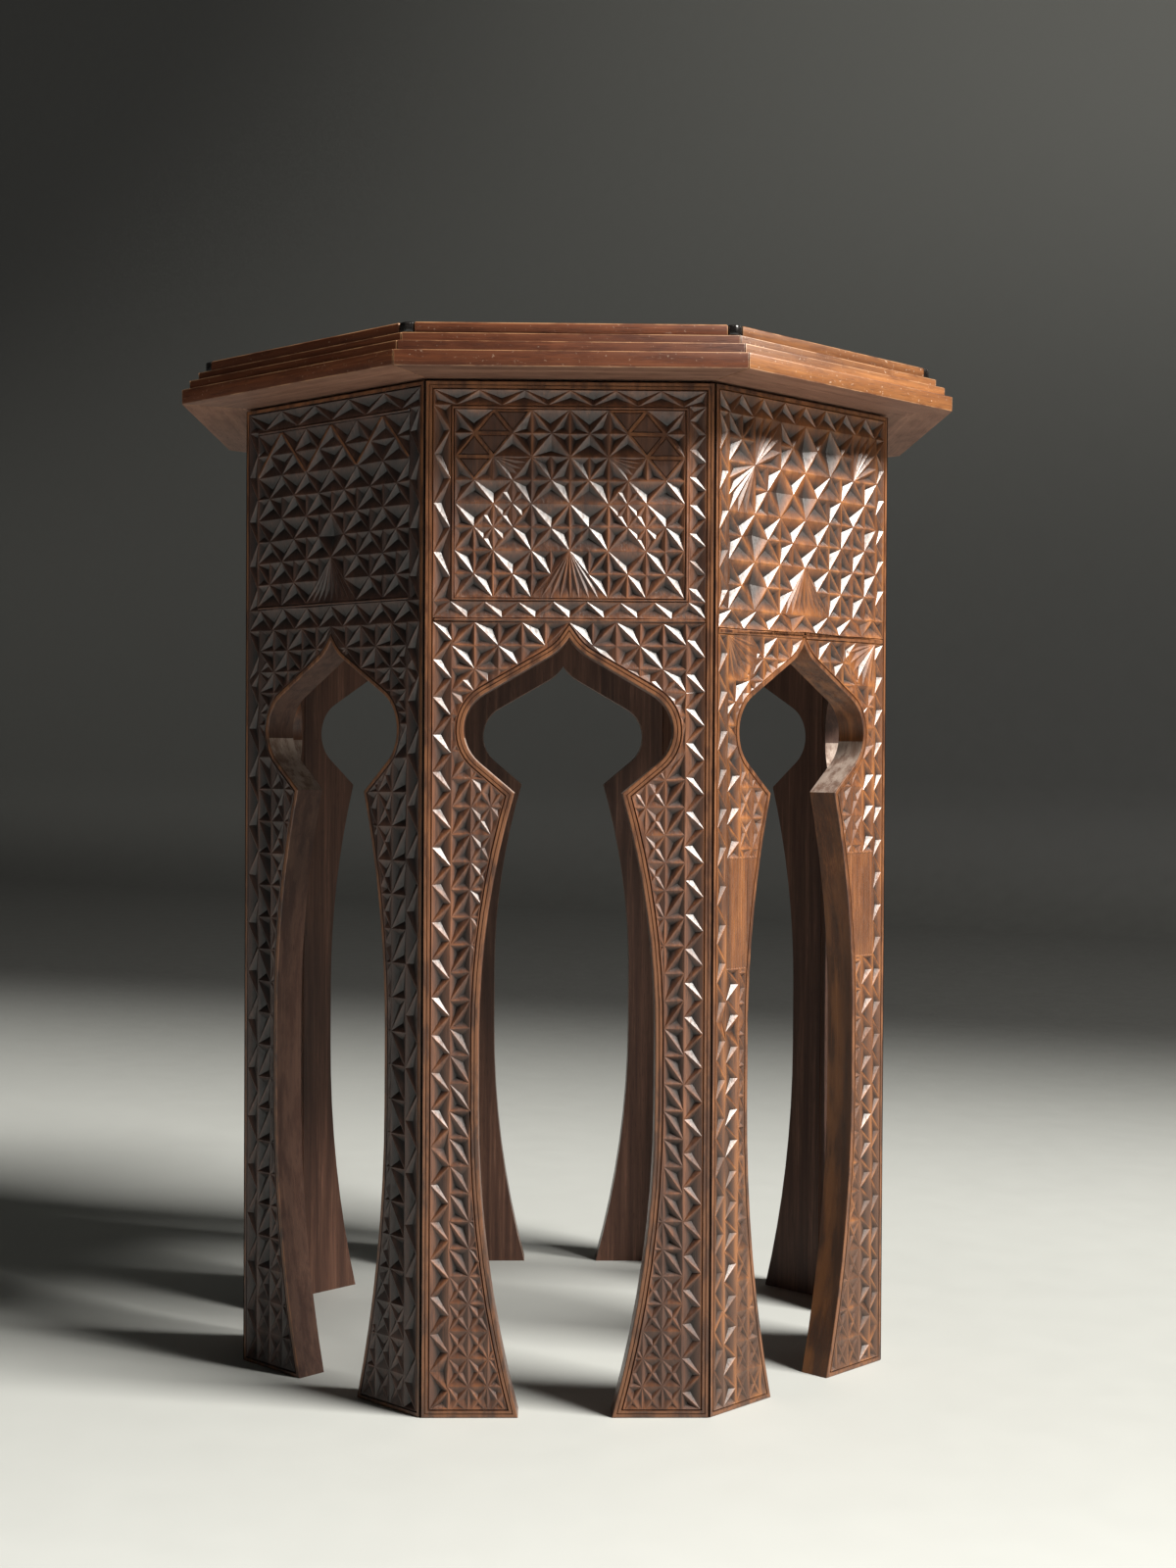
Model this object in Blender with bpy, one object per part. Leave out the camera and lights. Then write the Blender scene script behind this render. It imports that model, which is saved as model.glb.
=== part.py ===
"""Octagonal carved side table: eight mitred boards with sawn arches carry a stepped, mitred top.

Metres, +Z up. The origin is on the floor under the middle of the table, and the front board faces -Y.
Every piece is modelled in its place on the front side, or on a corner that points to -Y, and its
parent empty turns it about Z to its own side or corner.
"""

import math

import bmesh
import bpy
from mathutils import Matrix, Vector

for leftover in list(bpy.data.objects):
    bpy.data.objects.remove(leftover, do_unlink=True)

# Base: eight boards, mitred along both long edges
SIDES = 8
BASE_ACROSS_FLATS = 0.375
BOARD_HEIGHT = 0.5545
BOARD_THICKNESS = 0.018
CORNER_SEAM = 0.0006

# Opening sawn out of each board, from the foot to the tip of the arch
FOOT_GAP = 0.0504
LEG_WIDTH = 0.0303
WAIST_BOTTOM = 0.165
WAIST_LENGTH = 0.040
EAR_GAP = 0.0576
EAR_HEIGHT = 0.335
STILE_WIDTH = 0.0215
SHOULDER_RADIUS = 0.0225
SHOULDER_ABOVE_EAR = 0.0111
TIP_ABOVE_SHOULDER = 0.0271
TIP_RADIUS = 0.030
TIP_SLOPE = math.radians(58)

# Main chips of the carving on each board's front, with plain strips left between their zones
CARVING_MARGIN = 0.0036
CARVING_STRIP = 0.0022
COLUMN_WIDTH = 0.0105
TOP_BAND_HEIGHT = 0.0095
LOWER_BAND_HEIGHT = 0.0086
LOWER_BAND_ABOVE_TIP = 0.0102
CHIP_SLOPE = 0.65
FIELD_ROWS = 8
FIELD_HALF_CHIPS = 12
TOP_BAND_HALF_CHIPS = 12
LOWER_BAND_HALF_CHIPS = 16
COLUMN_HALF_CHIPS = 46

# Top: mitred border with two steps, rim strips, corner keys and a centre panel
TOP_OVERHANG = 0.035
SHADOW_GAP = 0.0015
EDGE_HEIGHT = 0.0085
LOWER_STEP_HEIGHT = 0.0055
LOWER_STEP_INSET = 0.0041
UPPER_STEP_HEIGHT = 0.0050
UPPER_STEP_INSET = 0.0048
BORDER_LAP = 0.004
RIM_HEIGHT = 0.0060
RIM_INSET = 0.0039
RIM_WIDTH = 0.012
RIM_ROUNDING = 0.0008
KEY_WIDTH = 0.008
KEY_ROUNDING = 0.0010
PANEL_BELOW_RIM = 0.0015
PANEL_BODY_DEPTH = 0.010

# Inside: glue blocks in the corners, cleats under the top and their screws
BLOCK_LEG = 0.026
BLOCK_EDGE = 0.006
BLOCK_LENGTH = 0.090
BLOCK_DROP = 0.004
CLEAT_DEPTH = 0.018
CLEAT_HEIGHT = 0.020
CLEAT_TO_BLOCK = 0.003
CLEAT_EASING = 0.0015
SIDES_PER_CLEAT = 2
SCREW_SHANK_RADIUS = 0.00175
SCREW_HEAD_RADIUS = 0.0037
SCREW_TIP_LENGTH = 0.006
SCREW_FROM_CLEAT_END = 0.014
WOOD_PAST_SCREW = 0.0065

# Fits
SEAT_GAP = 0.0003
DRILL_CLEARANCE = 0.0003
DRILL_RUN_OUT = 0.002

# Facets of round stretches
SHOULDER_FACETS = 14
TIP_FACETS = 5
LEG_FACETS = 8
SCREW_FACETS = 12
EASING_FACETS = 2
SMOOTH_BELOW = math.radians(31)
MERGE_DISTANCE = 1e-6

# Sizes that follow from the ones above
HALF_TURN = math.pi / SIDES
BASE_APOTHEM = BASE_ACROSS_FLATS / 2
INNER_APOTHEM = BASE_APOTHEM - BOARD_THICKNESS
BOARD_HALF_WIDTH = BASE_APOTHEM * math.tan(HALF_TURN)
COLUMN_OUTER = BOARD_HALF_WIDTH - CARVING_MARGIN
COLUMN_INNER = COLUMN_OUTER - COLUMN_WIDTH
FIELD_HALF_WIDTH = COLUMN_INNER - CARVING_STRIP
CLEAT_OUTER = INNER_APOTHEM - SEAT_GAP
CLEAT_INNER = CLEAT_OUTER - CLEAT_DEPTH
CLEAT_HALF_LENGTH = INNER_APOTHEM * math.tan(HALF_TURN) - BLOCK_LEG - CLEAT_TO_BLOCK
TOP_APOTHEM = BASE_APOTHEM + TOP_OVERHANG
BORDER_INNER = CLEAT_INNER - BORDER_LAP
LOWER_STEP_APOTHEM = TOP_APOTHEM - LOWER_STEP_INSET
UPPER_STEP_APOTHEM = LOWER_STEP_APOTHEM - UPPER_STEP_INSET
RIM_APOTHEM = UPPER_STEP_APOTHEM - RIM_INSET
RIM_INNER = RIM_APOTHEM - RIM_WIDTH
BORDER_BOTTOM = BOARD_HEIGHT + SHADOW_GAP
EDGE_TOP = BORDER_BOTTOM + EDGE_HEIGHT
LOWER_STEP_TOP = EDGE_TOP + LOWER_STEP_HEIGHT
BORDER_TOP = LOWER_STEP_TOP + UPPER_STEP_HEIGHT
RIM_BOTTOM = BORDER_TOP + SEAT_GAP
CLEAT_TOP = BORDER_BOTTOM - SEAT_GAP
CLEAT_BOTTOM = CLEAT_TOP - CLEAT_HEIGHT
TOP_SCREW_LENGTH = BORDER_TOP - WOOD_PAST_SCREW - CLEAT_BOTTOM
BOARD_SCREW_LENGTH = BASE_APOTHEM - WOOD_PAST_SCREW - CLEAT_INNER


def finish(name, colour, roughness, metallic=0.0):
    """A plain material with one colour and one gloss."""
    material = bpy.data.materials.new(name)
    material.use_nodes = True
    shader = material.node_tree.nodes["Principled BSDF"]
    shader.inputs["Base Color"].default_value = (*colour, 1.0)
    shader.inputs["Roughness"].default_value = roughness
    shader.inputs["Metallic"].default_value = metallic
    return material


def turned_empty(name, turn):
    """An empty on the table's axis, turned to a side or a corner."""
    empty = bpy.data.objects.new(name, None)
    empty.rotation_euler.z = turn
    bpy.context.scene.collection.objects.link(empty)
    return empty


def mesh_from(work, name, material):
    """A mesh with outward faces and one material from a finished bmesh."""
    bmesh.ops.recalc_face_normals(work, faces=work.faces)
    mesh = bpy.data.meshes.new(name)
    work.to_mesh(mesh)
    work.free()
    mesh.shade_smooth()
    mesh.set_sharp_from_angle(angle=SMOOTH_BELOW)
    mesh.materials.append(material)
    return mesh


def place(name, mesh, parent, matrix=None):
    """One named piece on its side or corner."""
    piece = bpy.data.objects.new(name, mesh)
    piece.parent = parent
    if matrix is not None:
        piece.location = matrix.to_translation()
        piece.rotation_euler = matrix.to_euler()
    bpy.context.scene.collection.objects.link(piece)
    return piece


def ease_edges(piece, width):
    """Rounds the sharp edges of a piece."""
    bevel = piece.modifiers.new("eased_edges", "BEVEL")
    bevel.width = width
    bevel.segments = EASING_FACETS


def drill(piece, cutter):
    """Takes the cutter's screw holes out of a piece."""
    holes = piece.modifiers.new("screw_holes", "BOOLEAN")
    holes.operation = "DIFFERENCE"
    holes.object = cutter


def push(work, face, travel, widen=1.0):
    """Extrudes a face along a line, scales its new end about the table's axis and returns that end."""
    pushed = bmesh.ops.extrude_face_region(work, geom=[face])["geom"]
    ends = [part for part in pushed if isinstance(part, bmesh.types.BMVert)]
    bmesh.ops.scale(work, verts=ends, vec=(widen, widen, 1))
    bmesh.ops.translate(work, verts=ends, vec=travel)
    return next(part for part in pushed if isinstance(part, bmesh.types.BMFace))


def prism(outline, travel):
    """A solid from a flat outline pushed along a straight line."""
    work = bmesh.new()
    face = work.faces.new([work.verts.new(point) for point in outline])
    push(work, face, travel)
    return work


def saw(work, point, normal):
    """Cuts at a plane, drops the waste on the normal's side and closes the cut."""
    everything = work.verts[:] + work.edges[:] + work.faces[:]
    cut = bmesh.ops.bisect_plane(work, geom=everything, plane_co=point, plane_no=normal, clear_outer=True)
    edges = [part for part in cut["geom_cut"] if isinstance(part, bmesh.types.BMEdge)]
    bmesh.ops.edgeloop_fill(work, edges=edges)


def saw_mitres(work, set_back):
    """Saws both ends parallel to the corner planes, each set back from its corner."""
    for hand in (-1, 1):
        normal = Vector((hand * math.cos(HALF_TURN), math.sin(HALF_TURN), 0))
        saw(work, -set_back * normal, normal)


def mitred_bar(section, set_back):
    """A bar along a side from a section of (distance from the axis, height), sawn at both corners."""
    longest = max(distance for distance, height in section)
    work = prism([(-longest, -distance, height) for distance, height in section], (2 * longest, 0, 0))
    saw_mitres(work, set_back)
    return work


def mirrored(half):
    """A closed outline from its right half; points on the middle line aren't repeated."""
    left = [(-x, y) for x, y in reversed(half) if x > 0]
    return list(half) + left


def arc(centre, radius, start, end, facets):
    """Points on an arc, both ends included."""
    angles = [start + (end - start) * step / facets for step in range(facets + 1)]
    return [(centre.x + radius * math.cos(angle), centre.y + radius * math.sin(angle)) for angle in angles]


def leg_arc(end_gap, end_height, waist_height):
    """The leg's inner edge from one end to the upright waist, as an arc tangent to the waist."""
    waist = BOARD_HALF_WIDTH - LEG_WIDTH
    widening = waist - end_gap / 2
    rise = waist_height - end_height
    radius = (widening**2 + rise**2) / (2 * widening)
    return arc(Vector((waist - radius, waist_height)), radius, -math.asin(rise / radius), 0, LEG_FACETS)


def arch_head():
    """The arch's right half from the ear to the tip: a line, the shoulder, a line and the reversed tip."""
    ear = Vector((EAR_GAP / 2, EAR_HEIGHT))
    shoulder_x = BOARD_HALF_WIDTH - STILE_WIDTH - SHOULDER_RADIUS
    shoulder = Vector((shoulder_x, EAR_HEIGHT + SHOULDER_ABOVE_EAR + SHOULDER_RADIUS))
    tip = Vector((0, shoulder.y + SHOULDER_RADIUS + TIP_ABOVE_SHOULDER))
    tip_centre = tip + TIP_RADIUS * Vector((math.sin(TIP_SLOPE), math.cos(TIP_SLOPE)))

    to_ear = ear - shoulder
    start = math.atan2(to_ear.y, to_ear.x) + math.acos(SHOULDER_RADIUS / to_ear.length)
    to_tip = tip_centre - shoulder
    end = math.atan2(to_tip.y, to_tip.x) - math.acos((SHOULDER_RADIUS + TIP_RADIUS) / to_tip.length)
    tip_end = 3 * math.pi / 2 - TIP_SLOPE

    points = [tuple(ear)]
    points += arc(shoulder, SHOULDER_RADIUS, start, end, SHOULDER_FACETS)
    points += arc(tip_centre, TIP_RADIUS, end + math.pi, tip_end, TIP_FACETS)[:-1]
    return points + [(0, tip.y)]


def opening_half():
    """The right half of the opening, from the foot to the tip of the arch."""
    lower = leg_arc(FOOT_GAP, 0, WAIST_BOTTOM)
    upper = leg_arc(EAR_GAP, EAR_HEIGHT, WAIST_BOTTOM + WAIST_LENGTH)
    return lower + upper[:0:-1] + arch_head()


def front_faces(work, zone):
    """The front's faces whose middle lies in a zone of (left, right, bottom, top)."""
    left, right, bottom, top = zone
    found = []
    for face in work.faces:
        middle = face.calc_center_bounds()
        in_zone = left < middle.x < right and bottom < middle.z < top
        if in_zone and middle.y < MERGE_DISTANCE - BASE_APOTHEM:
            found.append(face)
    return found


def score(work, zone, start, end):
    """Parts the front's faces in a zone along the line through two points of (across, height)."""
    faces = front_faces(work, zone)
    edges = {edge for face in faces for edge in face.edges}
    verts = {vert for face in faces for vert in face.verts}
    normal = Vector((start[1] - end[1], 0, end[0] - start[0])).normalized()
    point = (start[0], -BASE_APOTHEM, start[1])
    geometry = [*faces, *edges, *verts]
    bmesh.ops.bisect_plane(work, geom=geometry, dist=MERGE_DISTANCE, plane_co=point, plane_no=normal)


def frame_zone(work, zone):
    """Parts a zone of (left, right, bottom, top) from the front around it."""
    left, right, bottom, top = zone
    whole = (-BASE_APOTHEM, BASE_APOTHEM, 0, BOARD_HEIGHT)
    score(work, whole, (left, bottom), (right, bottom))
    score(work, whole, (left, top), (right, top))
    level = (-BASE_APOTHEM, BASE_APOTHEM, bottom, top)
    score(work, level, (left, bottom), (left, top))
    score(work, level, (right, bottom), (right, top))


def triangles(work, zone, rows, half_chips, upright=False):
    """Parts a zone into rows of triangles that point up and down in turn, or into upright rows."""
    left, right, bottom, top = zone
    run, rise = (top - bottom, right - left) if upright else (right - left, top - bottom)
    step = run / half_chips
    row = rise / rows

    def spot(along, across):
        """A lattice point of the zone, counted in half chips and rows."""
        if upright:
            return (left + across * row, bottom + along * step)
        return (left + along * step, bottom + across * row)

    for line in range(1, rows):
        score(work, zone, spot(0, line), spot(half_chips, line))
    for start in range(-rows - rows % 2, half_chips + rows + 1, 2):
        score(work, zone, spot(start, 0), spot(start + rows, rows))
        score(work, zone, spot(start, 0), spot(start - rows, rows))


def cut_chips(work, zone):
    """Sinks each cell of a zone to a point, so that its facets all slope alike."""
    for vert in bmesh.ops.poke(work, faces=front_faces(work, zone))["verts"]:
        corners = [edge.other_vert(vert).co for edge in vert.link_edges]
        weights = []
        for index, corner in enumerate(corners):
            weights.append((corners[index - 1] - corners[index - 2]).length)
        centre = sum((weight * corner for weight, corner in zip(weights, corners)), Vector()) / sum(weights)
        area = sum(face.calc_area() for face in vert.link_faces)
        depth = CHIP_SLOPE * 2 * area / sum(weights)
        vert.co = centre + Vector((0, depth, 0))


def carve(work):
    """The main chips: a column down each edge, a field over the arch and a band below and above it."""
    carving_top = BOARD_HEIGHT - CARVING_MARGIN
    lower_band = arch_head()[-1][1] + LOWER_BAND_ABOVE_TIP
    lower_band_top = lower_band + LOWER_BAND_HEIGHT
    top_band = carving_top - TOP_BAND_HEIGHT
    half = FIELD_HALF_WIDTH
    left_column = (-COLUMN_OUTER, -COLUMN_INNER, CARVING_MARGIN, carving_top)
    right_column = (COLUMN_INNER, COLUMN_OUTER, CARVING_MARGIN, carving_top)
    field = (-half, half, lower_band_top + CARVING_STRIP, top_band - CARVING_STRIP)
    zones = [
        (left_column, 1, COLUMN_HALF_CHIPS, True),
        (right_column, 1, COLUMN_HALF_CHIPS, True),
        ((-half, half, lower_band, lower_band_top), 1, LOWER_BAND_HALF_CHIPS, False),
        (field, FIELD_ROWS, FIELD_HALF_CHIPS, False),
        ((-half, half, top_band, carving_top), 1, TOP_BAND_HALF_CHIPS, False),
    ]
    for zone, rows, half_chips, upright in zones:
        frame_zone(work, zone)
        triangles(work, zone, rows, half_chips, upright)
        cut_chips(work, zone)


def side_board():
    """A board with the arch sawn out, both long edges mitred and the front carved."""
    right = [(0, BOARD_HEIGHT), (BASE_APOTHEM, BOARD_HEIGHT), (BASE_APOTHEM, 0)] + opening_half()
    outline = [(x, -BASE_APOTHEM, z) for x, z in mirrored(right)]
    work = prism(outline, (0, BOARD_THICKNESS, 0))
    saw_mitres(work, CORNER_SEAM / 2)
    carve(work)
    return work


def top_border():
    """A border segment: the thick edge, two steps and the flat that carries rim and panel."""
    section = [
        (BORDER_INNER, BORDER_BOTTOM),
        (TOP_APOTHEM, BORDER_BOTTOM),
        (TOP_APOTHEM, EDGE_TOP),
        (LOWER_STEP_APOTHEM, EDGE_TOP),
        (LOWER_STEP_APOTHEM, LOWER_STEP_TOP),
        (UPPER_STEP_APOTHEM, LOWER_STEP_TOP),
        (UPPER_STEP_APOTHEM, BORDER_TOP),
        (BORDER_INNER, BORDER_TOP),
    ]
    return mitred_bar(section, SEAT_GAP / 2)


def rim_strip():
    """A strip on the border's flat, cut short at both ends for the corner keys."""
    rim_top = RIM_BOTTOM + RIM_HEIGHT
    section = [(RIM_INNER, RIM_BOTTOM), (RIM_APOTHEM, RIM_BOTTOM)]
    section += [(RIM_APOTHEM, rim_top), (RIM_INNER, rim_top)]
    return mitred_bar(section, KEY_WIDTH / 2 + SEAT_GAP)


def corner_key():
    """The dark block between two rim strips, on a corner that points to -Y."""
    half = KEY_WIDTH / 2
    setback = half * math.tan(HALF_TURN)
    outer = RIM_APOTHEM / math.cos(HALF_TURN)
    inner = RIM_INNER / math.cos(HALF_TURN)
    right = [(0, -outer), (half, setback - outer), (half, setback - inner), (0, -inner)]
    return prism([(x, y, RIM_BOTTOM) for x, y in mirrored(right)], (0, 0, RIM_HEIGHT))


def centre_panel():
    """The panel's body fills the border's opening, and its flange lies on the border inside the rim."""
    body = BORDER_INNER - SEAT_GAP
    flange = RIM_INNER - SEAT_GAP
    bottom = RIM_BOTTOM - PANEL_BODY_DEPTH
    radius = body / math.cos(HALF_TURN)
    angles = [HALF_TURN * (2 * side + 1) for side in range(SIDES)]
    outline = [(radius * math.cos(angle), radius * math.sin(angle), bottom) for angle in angles]
    work = prism(outline, (0, 0, PANEL_BODY_DEPTH))
    top = max(work.faces, key=lambda face: face.calc_center_median().z)
    ledge = push(work, top, (0, 0, 0), flange / body)
    push(work, ledge, (0, 0, RIM_HEIGHT - PANEL_BELOW_RIM))
    bmesh.ops.delete(work, geom=[top, ledge], context="FACES_ONLY")
    return work


def glue_block():
    """A five-sided block for an inside corner, on a corner that points to -Y."""
    along_board = Vector((math.cos(HALF_TURN), math.sin(HALF_TURN)))
    off_board = Vector((-math.sin(HALF_TURN), math.cos(HALF_TURN)))
    corner = Vector((0, (SEAT_GAP - INNER_APOTHEM) / math.cos(HALF_TURN)))
    end = corner + BLOCK_LEG * along_board
    right = [tuple(corner), tuple(end), tuple(end + BLOCK_EDGE * off_board)]
    top = BOARD_HEIGHT - BLOCK_DROP
    return prism([(x, y, top) for x, y in mirrored(right)], (0, 0, -BLOCK_LENGTH))


def cleat():
    """A square-edged bar behind a board's upper edge, under the border."""
    section = [(CLEAT_INNER, CLEAT_BOTTOM), (CLEAT_OUTER, CLEAT_BOTTOM)]
    section += [(CLEAT_OUTER, CLEAT_TOP), (CLEAT_INNER, CLEAT_TOP)]
    outline = [(-CLEAT_HALF_LENGTH, -distance, height) for distance, height in section]
    return prism(outline, (2 * CLEAT_HALF_LENGTH, 0, 0))


def turned(work, profile, matrix):
    """Adds a turned solid: a profile of (radius, height) spun about Z, then put in its place."""
    known = set(work.verts)
    verts = [work.verts.new((radius, 0, height)) for radius, height in profile]
    edges = [work.edges.new(pair) for pair in zip(verts, verts[1:])]
    bmesh.ops.spin(work, geom=verts + edges, axis=(0, 0, 1), angle=2 * math.pi, steps=SCREW_FACETS)
    spun = [vert for vert in work.verts if vert not in known]
    bmesh.ops.remove_doubles(work, verts=spun, dist=MERGE_DISTANCE)
    placed = [vert for vert in work.verts if vert not in known]
    bmesh.ops.transform(work, verts=placed, matrix=matrix)


def screw_profile(length, clearance=0.0, run_out=0.0):
    """A countersunk screw's profile, head at the bottom, or its hole's with clearance all round."""
    head = SCREW_HEAD_RADIUS + clearance
    shank = SCREW_SHANK_RADIUS + clearance
    start = [(0, -run_out), (head, -run_out)]
    if run_out:
        start.append((head, 0))
    taper = SCREW_HEAD_RADIUS - SCREW_SHANK_RADIUS
    return start + [(shank, taper), (shank, length - SCREW_TIP_LENGTH), (0, length + clearance)]


def screw_places():
    """Where a cleat's three screws start, as (name, length, matrix) with the screw along its own +Z."""
    middle = -(CLEAT_INNER + CLEAT_OUTER) / 2
    reach = CLEAT_HALF_LENGTH - SCREW_FROM_CLEAT_END
    outward = Matrix.Rotation(math.pi / 2, 4, "X")
    at_board = Matrix.Translation((0, -CLEAT_INNER, (CLEAT_TOP + CLEAT_BOTTOM) / 2)) @ outward
    return [
        ("top_screw_left", TOP_SCREW_LENGTH, Matrix.Translation((-reach, middle, CLEAT_BOTTOM))),
        ("top_screw_right", TOP_SCREW_LENGTH, Matrix.Translation((reach, middle, CLEAT_BOTTOM))),
        ("board_screw", BOARD_SCREW_LENGTH, at_board),
    ]


def screw(length):
    """One screw along +Z from its own origin."""
    work = bmesh.new()
    turned(work, screw_profile(length), Matrix.Identity(4))
    return work


def drills():
    """The holes for a cleat's three screws as one cutter."""
    work = bmesh.new()
    for name, length, matrix in screw_places():
        turned(work, screw_profile(length, DRILL_CLEARANCE, DRILL_RUN_OUT), matrix)
    return work


BOARD_WOOD = finish("carved_board_wood", (0.115, 0.052, 0.030), 0.38)
BORDER_WOOD = finish("top_border_wood", (0.205, 0.082, 0.042), 0.42)
RIM_WOOD = finish("rim_wood", (0.190, 0.080, 0.042), 0.42)
KEY_WOOD = finish("dark_key_wood", (0.018, 0.014, 0.012), 0.22)
PANEL_WOOD = finish("centre_panel_wood", (0.180, 0.075, 0.040), 0.35)
BLOCK_WOOD = finish("glue_block_wood", (0.260, 0.160, 0.090), 0.70)
CLEAT_WOOD = finish("cleat_wood", (0.240, 0.145, 0.080), 0.70)
SCREW_STEEL = finish("screw_steel", (0.420, 0.400, 0.370), 0.45, 1.0)

board_mesh = mesh_from(side_board(), "side_board", BOARD_WOOD)
border_mesh = mesh_from(top_border(), "top_border", BORDER_WOOD)
rim_mesh = mesh_from(rim_strip(), "rim_strip", RIM_WOOD)
key_mesh = mesh_from(corner_key(), "corner_key", KEY_WOOD)
block_mesh = mesh_from(glue_block(), "glue_block", BLOCK_WOOD)
cleat_mesh = mesh_from(cleat(), "cleat", CLEAT_WOOD)
drill_mesh = mesh_from(drills(), "screw_drills", SCREW_STEEL)
top_screw_mesh = mesh_from(screw(TOP_SCREW_LENGTH), "top_screw", SCREW_STEEL)
board_screw_mesh = mesh_from(screw(BOARD_SCREW_LENGTH), "board_screw", SCREW_STEEL)
panel_mesh = mesh_from(centre_panel(), "centre_panel", PANEL_WOOD)

table = turned_empty("table", 0)
place("top_centre_panel", panel_mesh, table)

for index in range(SIDES):
    number = index + 1
    side = turned_empty(f"side_{number}", 2 * HALF_TURN * index)
    side.parent = table
    board = place(f"side_board_{number}", board_mesh, side)
    border = place(f"top_border_{number}", border_mesh, side)
    rim = place(f"rim_strip_{number}", rim_mesh, side)
    ease_edges(rim, RIM_ROUNDING)

    if index % SIDES_PER_CLEAT == 0:
        bar = place(f"cleat_{number}", cleat_mesh, side)
        ease_edges(bar, CLEAT_EASING)
        cutter = place(f"screw_drills_{number}", drill_mesh, side)
        cutter.hide_render = True
        cutter.display_type = "WIRE"
        for drilled in (board, border, bar):
            drill(drilled, cutter)
        for name, length, matrix in screw_places():
            mesh = board_screw_mesh if name == "board_screw" else top_screw_mesh
            place(f"{name}_{number}", mesh, side, matrix)

    corner = turned_empty(f"corner_{number}", 2 * HALF_TURN * (index + 0.5))
    corner.parent = table
    key = place(f"corner_key_{number}", key_mesh, corner)
    ease_edges(key, KEY_ROUNDING)
    place(f"glue_block_{number}", block_mesh, corner)
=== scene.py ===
# %% [markdown]
# # An eight-sided chip-carved side table
# The packed CAD model is the fixed frame: eight arched boards, a stepped top, and the blocks, cleats and
# screws inside. This lesson dresses it. Each board is carved the way a carver works, with knife lines
# scored on the flat face and a chip lifted from every cell between them.

import math
import random
from types import SimpleNamespace

import bmesh
import bpy
from mathutils import Matrix, Vector


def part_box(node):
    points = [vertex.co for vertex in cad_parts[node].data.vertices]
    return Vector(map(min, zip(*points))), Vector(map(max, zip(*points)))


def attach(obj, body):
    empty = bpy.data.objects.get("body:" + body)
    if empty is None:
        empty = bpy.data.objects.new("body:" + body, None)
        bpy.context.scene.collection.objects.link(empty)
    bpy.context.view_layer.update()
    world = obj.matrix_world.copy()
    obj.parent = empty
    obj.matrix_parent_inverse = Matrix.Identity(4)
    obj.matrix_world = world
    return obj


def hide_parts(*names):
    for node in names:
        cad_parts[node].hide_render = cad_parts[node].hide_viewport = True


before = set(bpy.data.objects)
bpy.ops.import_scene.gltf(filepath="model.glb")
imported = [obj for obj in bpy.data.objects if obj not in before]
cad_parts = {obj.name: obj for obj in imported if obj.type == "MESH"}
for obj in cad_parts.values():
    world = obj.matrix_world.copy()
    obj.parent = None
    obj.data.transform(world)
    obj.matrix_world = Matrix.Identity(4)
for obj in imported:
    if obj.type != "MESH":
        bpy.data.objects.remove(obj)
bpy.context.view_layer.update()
print("pieces in the frame:", len(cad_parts))

# %% [markdown]
# ## Measures taken from the frame
# Board 1 faces the viewer, along -Y, and board n is the same board turned by 45 degrees for each step.
# So everything is worked out once, on the front board, in millimetres across (u) and up (z).

# %% Measures of the front board
MM = 0.001
SIDES = 8
TURN = 2 * math.pi / SIDES
front_low, front_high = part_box("side_board_1")
FACE_Y = front_low.y
BOARD_TOP = front_high.z / MM
BOARD_HALF = front_high.x / MM
print(f"board: {2 * BOARD_HALF:.1f} mm wide, {BOARD_TOP:.1f} mm high, face at y {FACE_Y / MM:.1f} mm")

# %% [markdown]
# ## Bench tools
# A CAD node is a bag of loose triangles. A new board could be drawn over it, but a copy has the right
# outline already. The copy is merged, and its flat triangles are dissolved into whole faces, so that a face
# of the copy is a face of the board and can be inset, cut and bevelled.

# %% Bench tools
MERGE_WITHIN = 1e-5
FLAT_WITHIN = math.radians(0.3)
CHIPS_WITHIN = 6 * MM
CHIP_FACING = -0.3
GRAIN_SHIFT = 9


def turn_of(number):
    """How far the table's side of this number is turned from the front."""
    return (number - 1) * TURN


def only(piece):
    """Makes a piece the one selected and active object."""
    bpy.ops.object.select_all(action="DESELECT")
    piece.select_set(True)
    bpy.context.view_layer.objects.active = piece


def bench_copy(node, name, turn=0.0):
    """A copy of a CAD node with whole faces, turned back to the front of the table."""
    piece = bpy.data.objects.new(name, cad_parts[node].data.copy())
    bpy.context.scene.collection.objects.link(piece)
    piece.data.materials.clear()
    piece.data.transform(Matrix.Rotation(-turn, 4, "Z"))
    only(piece)
    bpy.ops.mesh.customdata_custom_splitnormals_clear()
    bpy.ops.object.mode_set(mode="EDIT")
    bpy.ops.mesh.select_mode(type="FACE")
    bpy.ops.mesh.select_all(action="SELECT")
    bpy.ops.mesh.remove_doubles(threshold=MERGE_WITHIN)
    bpy.ops.mesh.select_all(action="SELECT")
    bpy.ops.mesh.dissolve_limited(angle_limit=FLAT_WITHIN)
    bpy.ops.object.mode_set(mode="OBJECT")
    return piece


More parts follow.
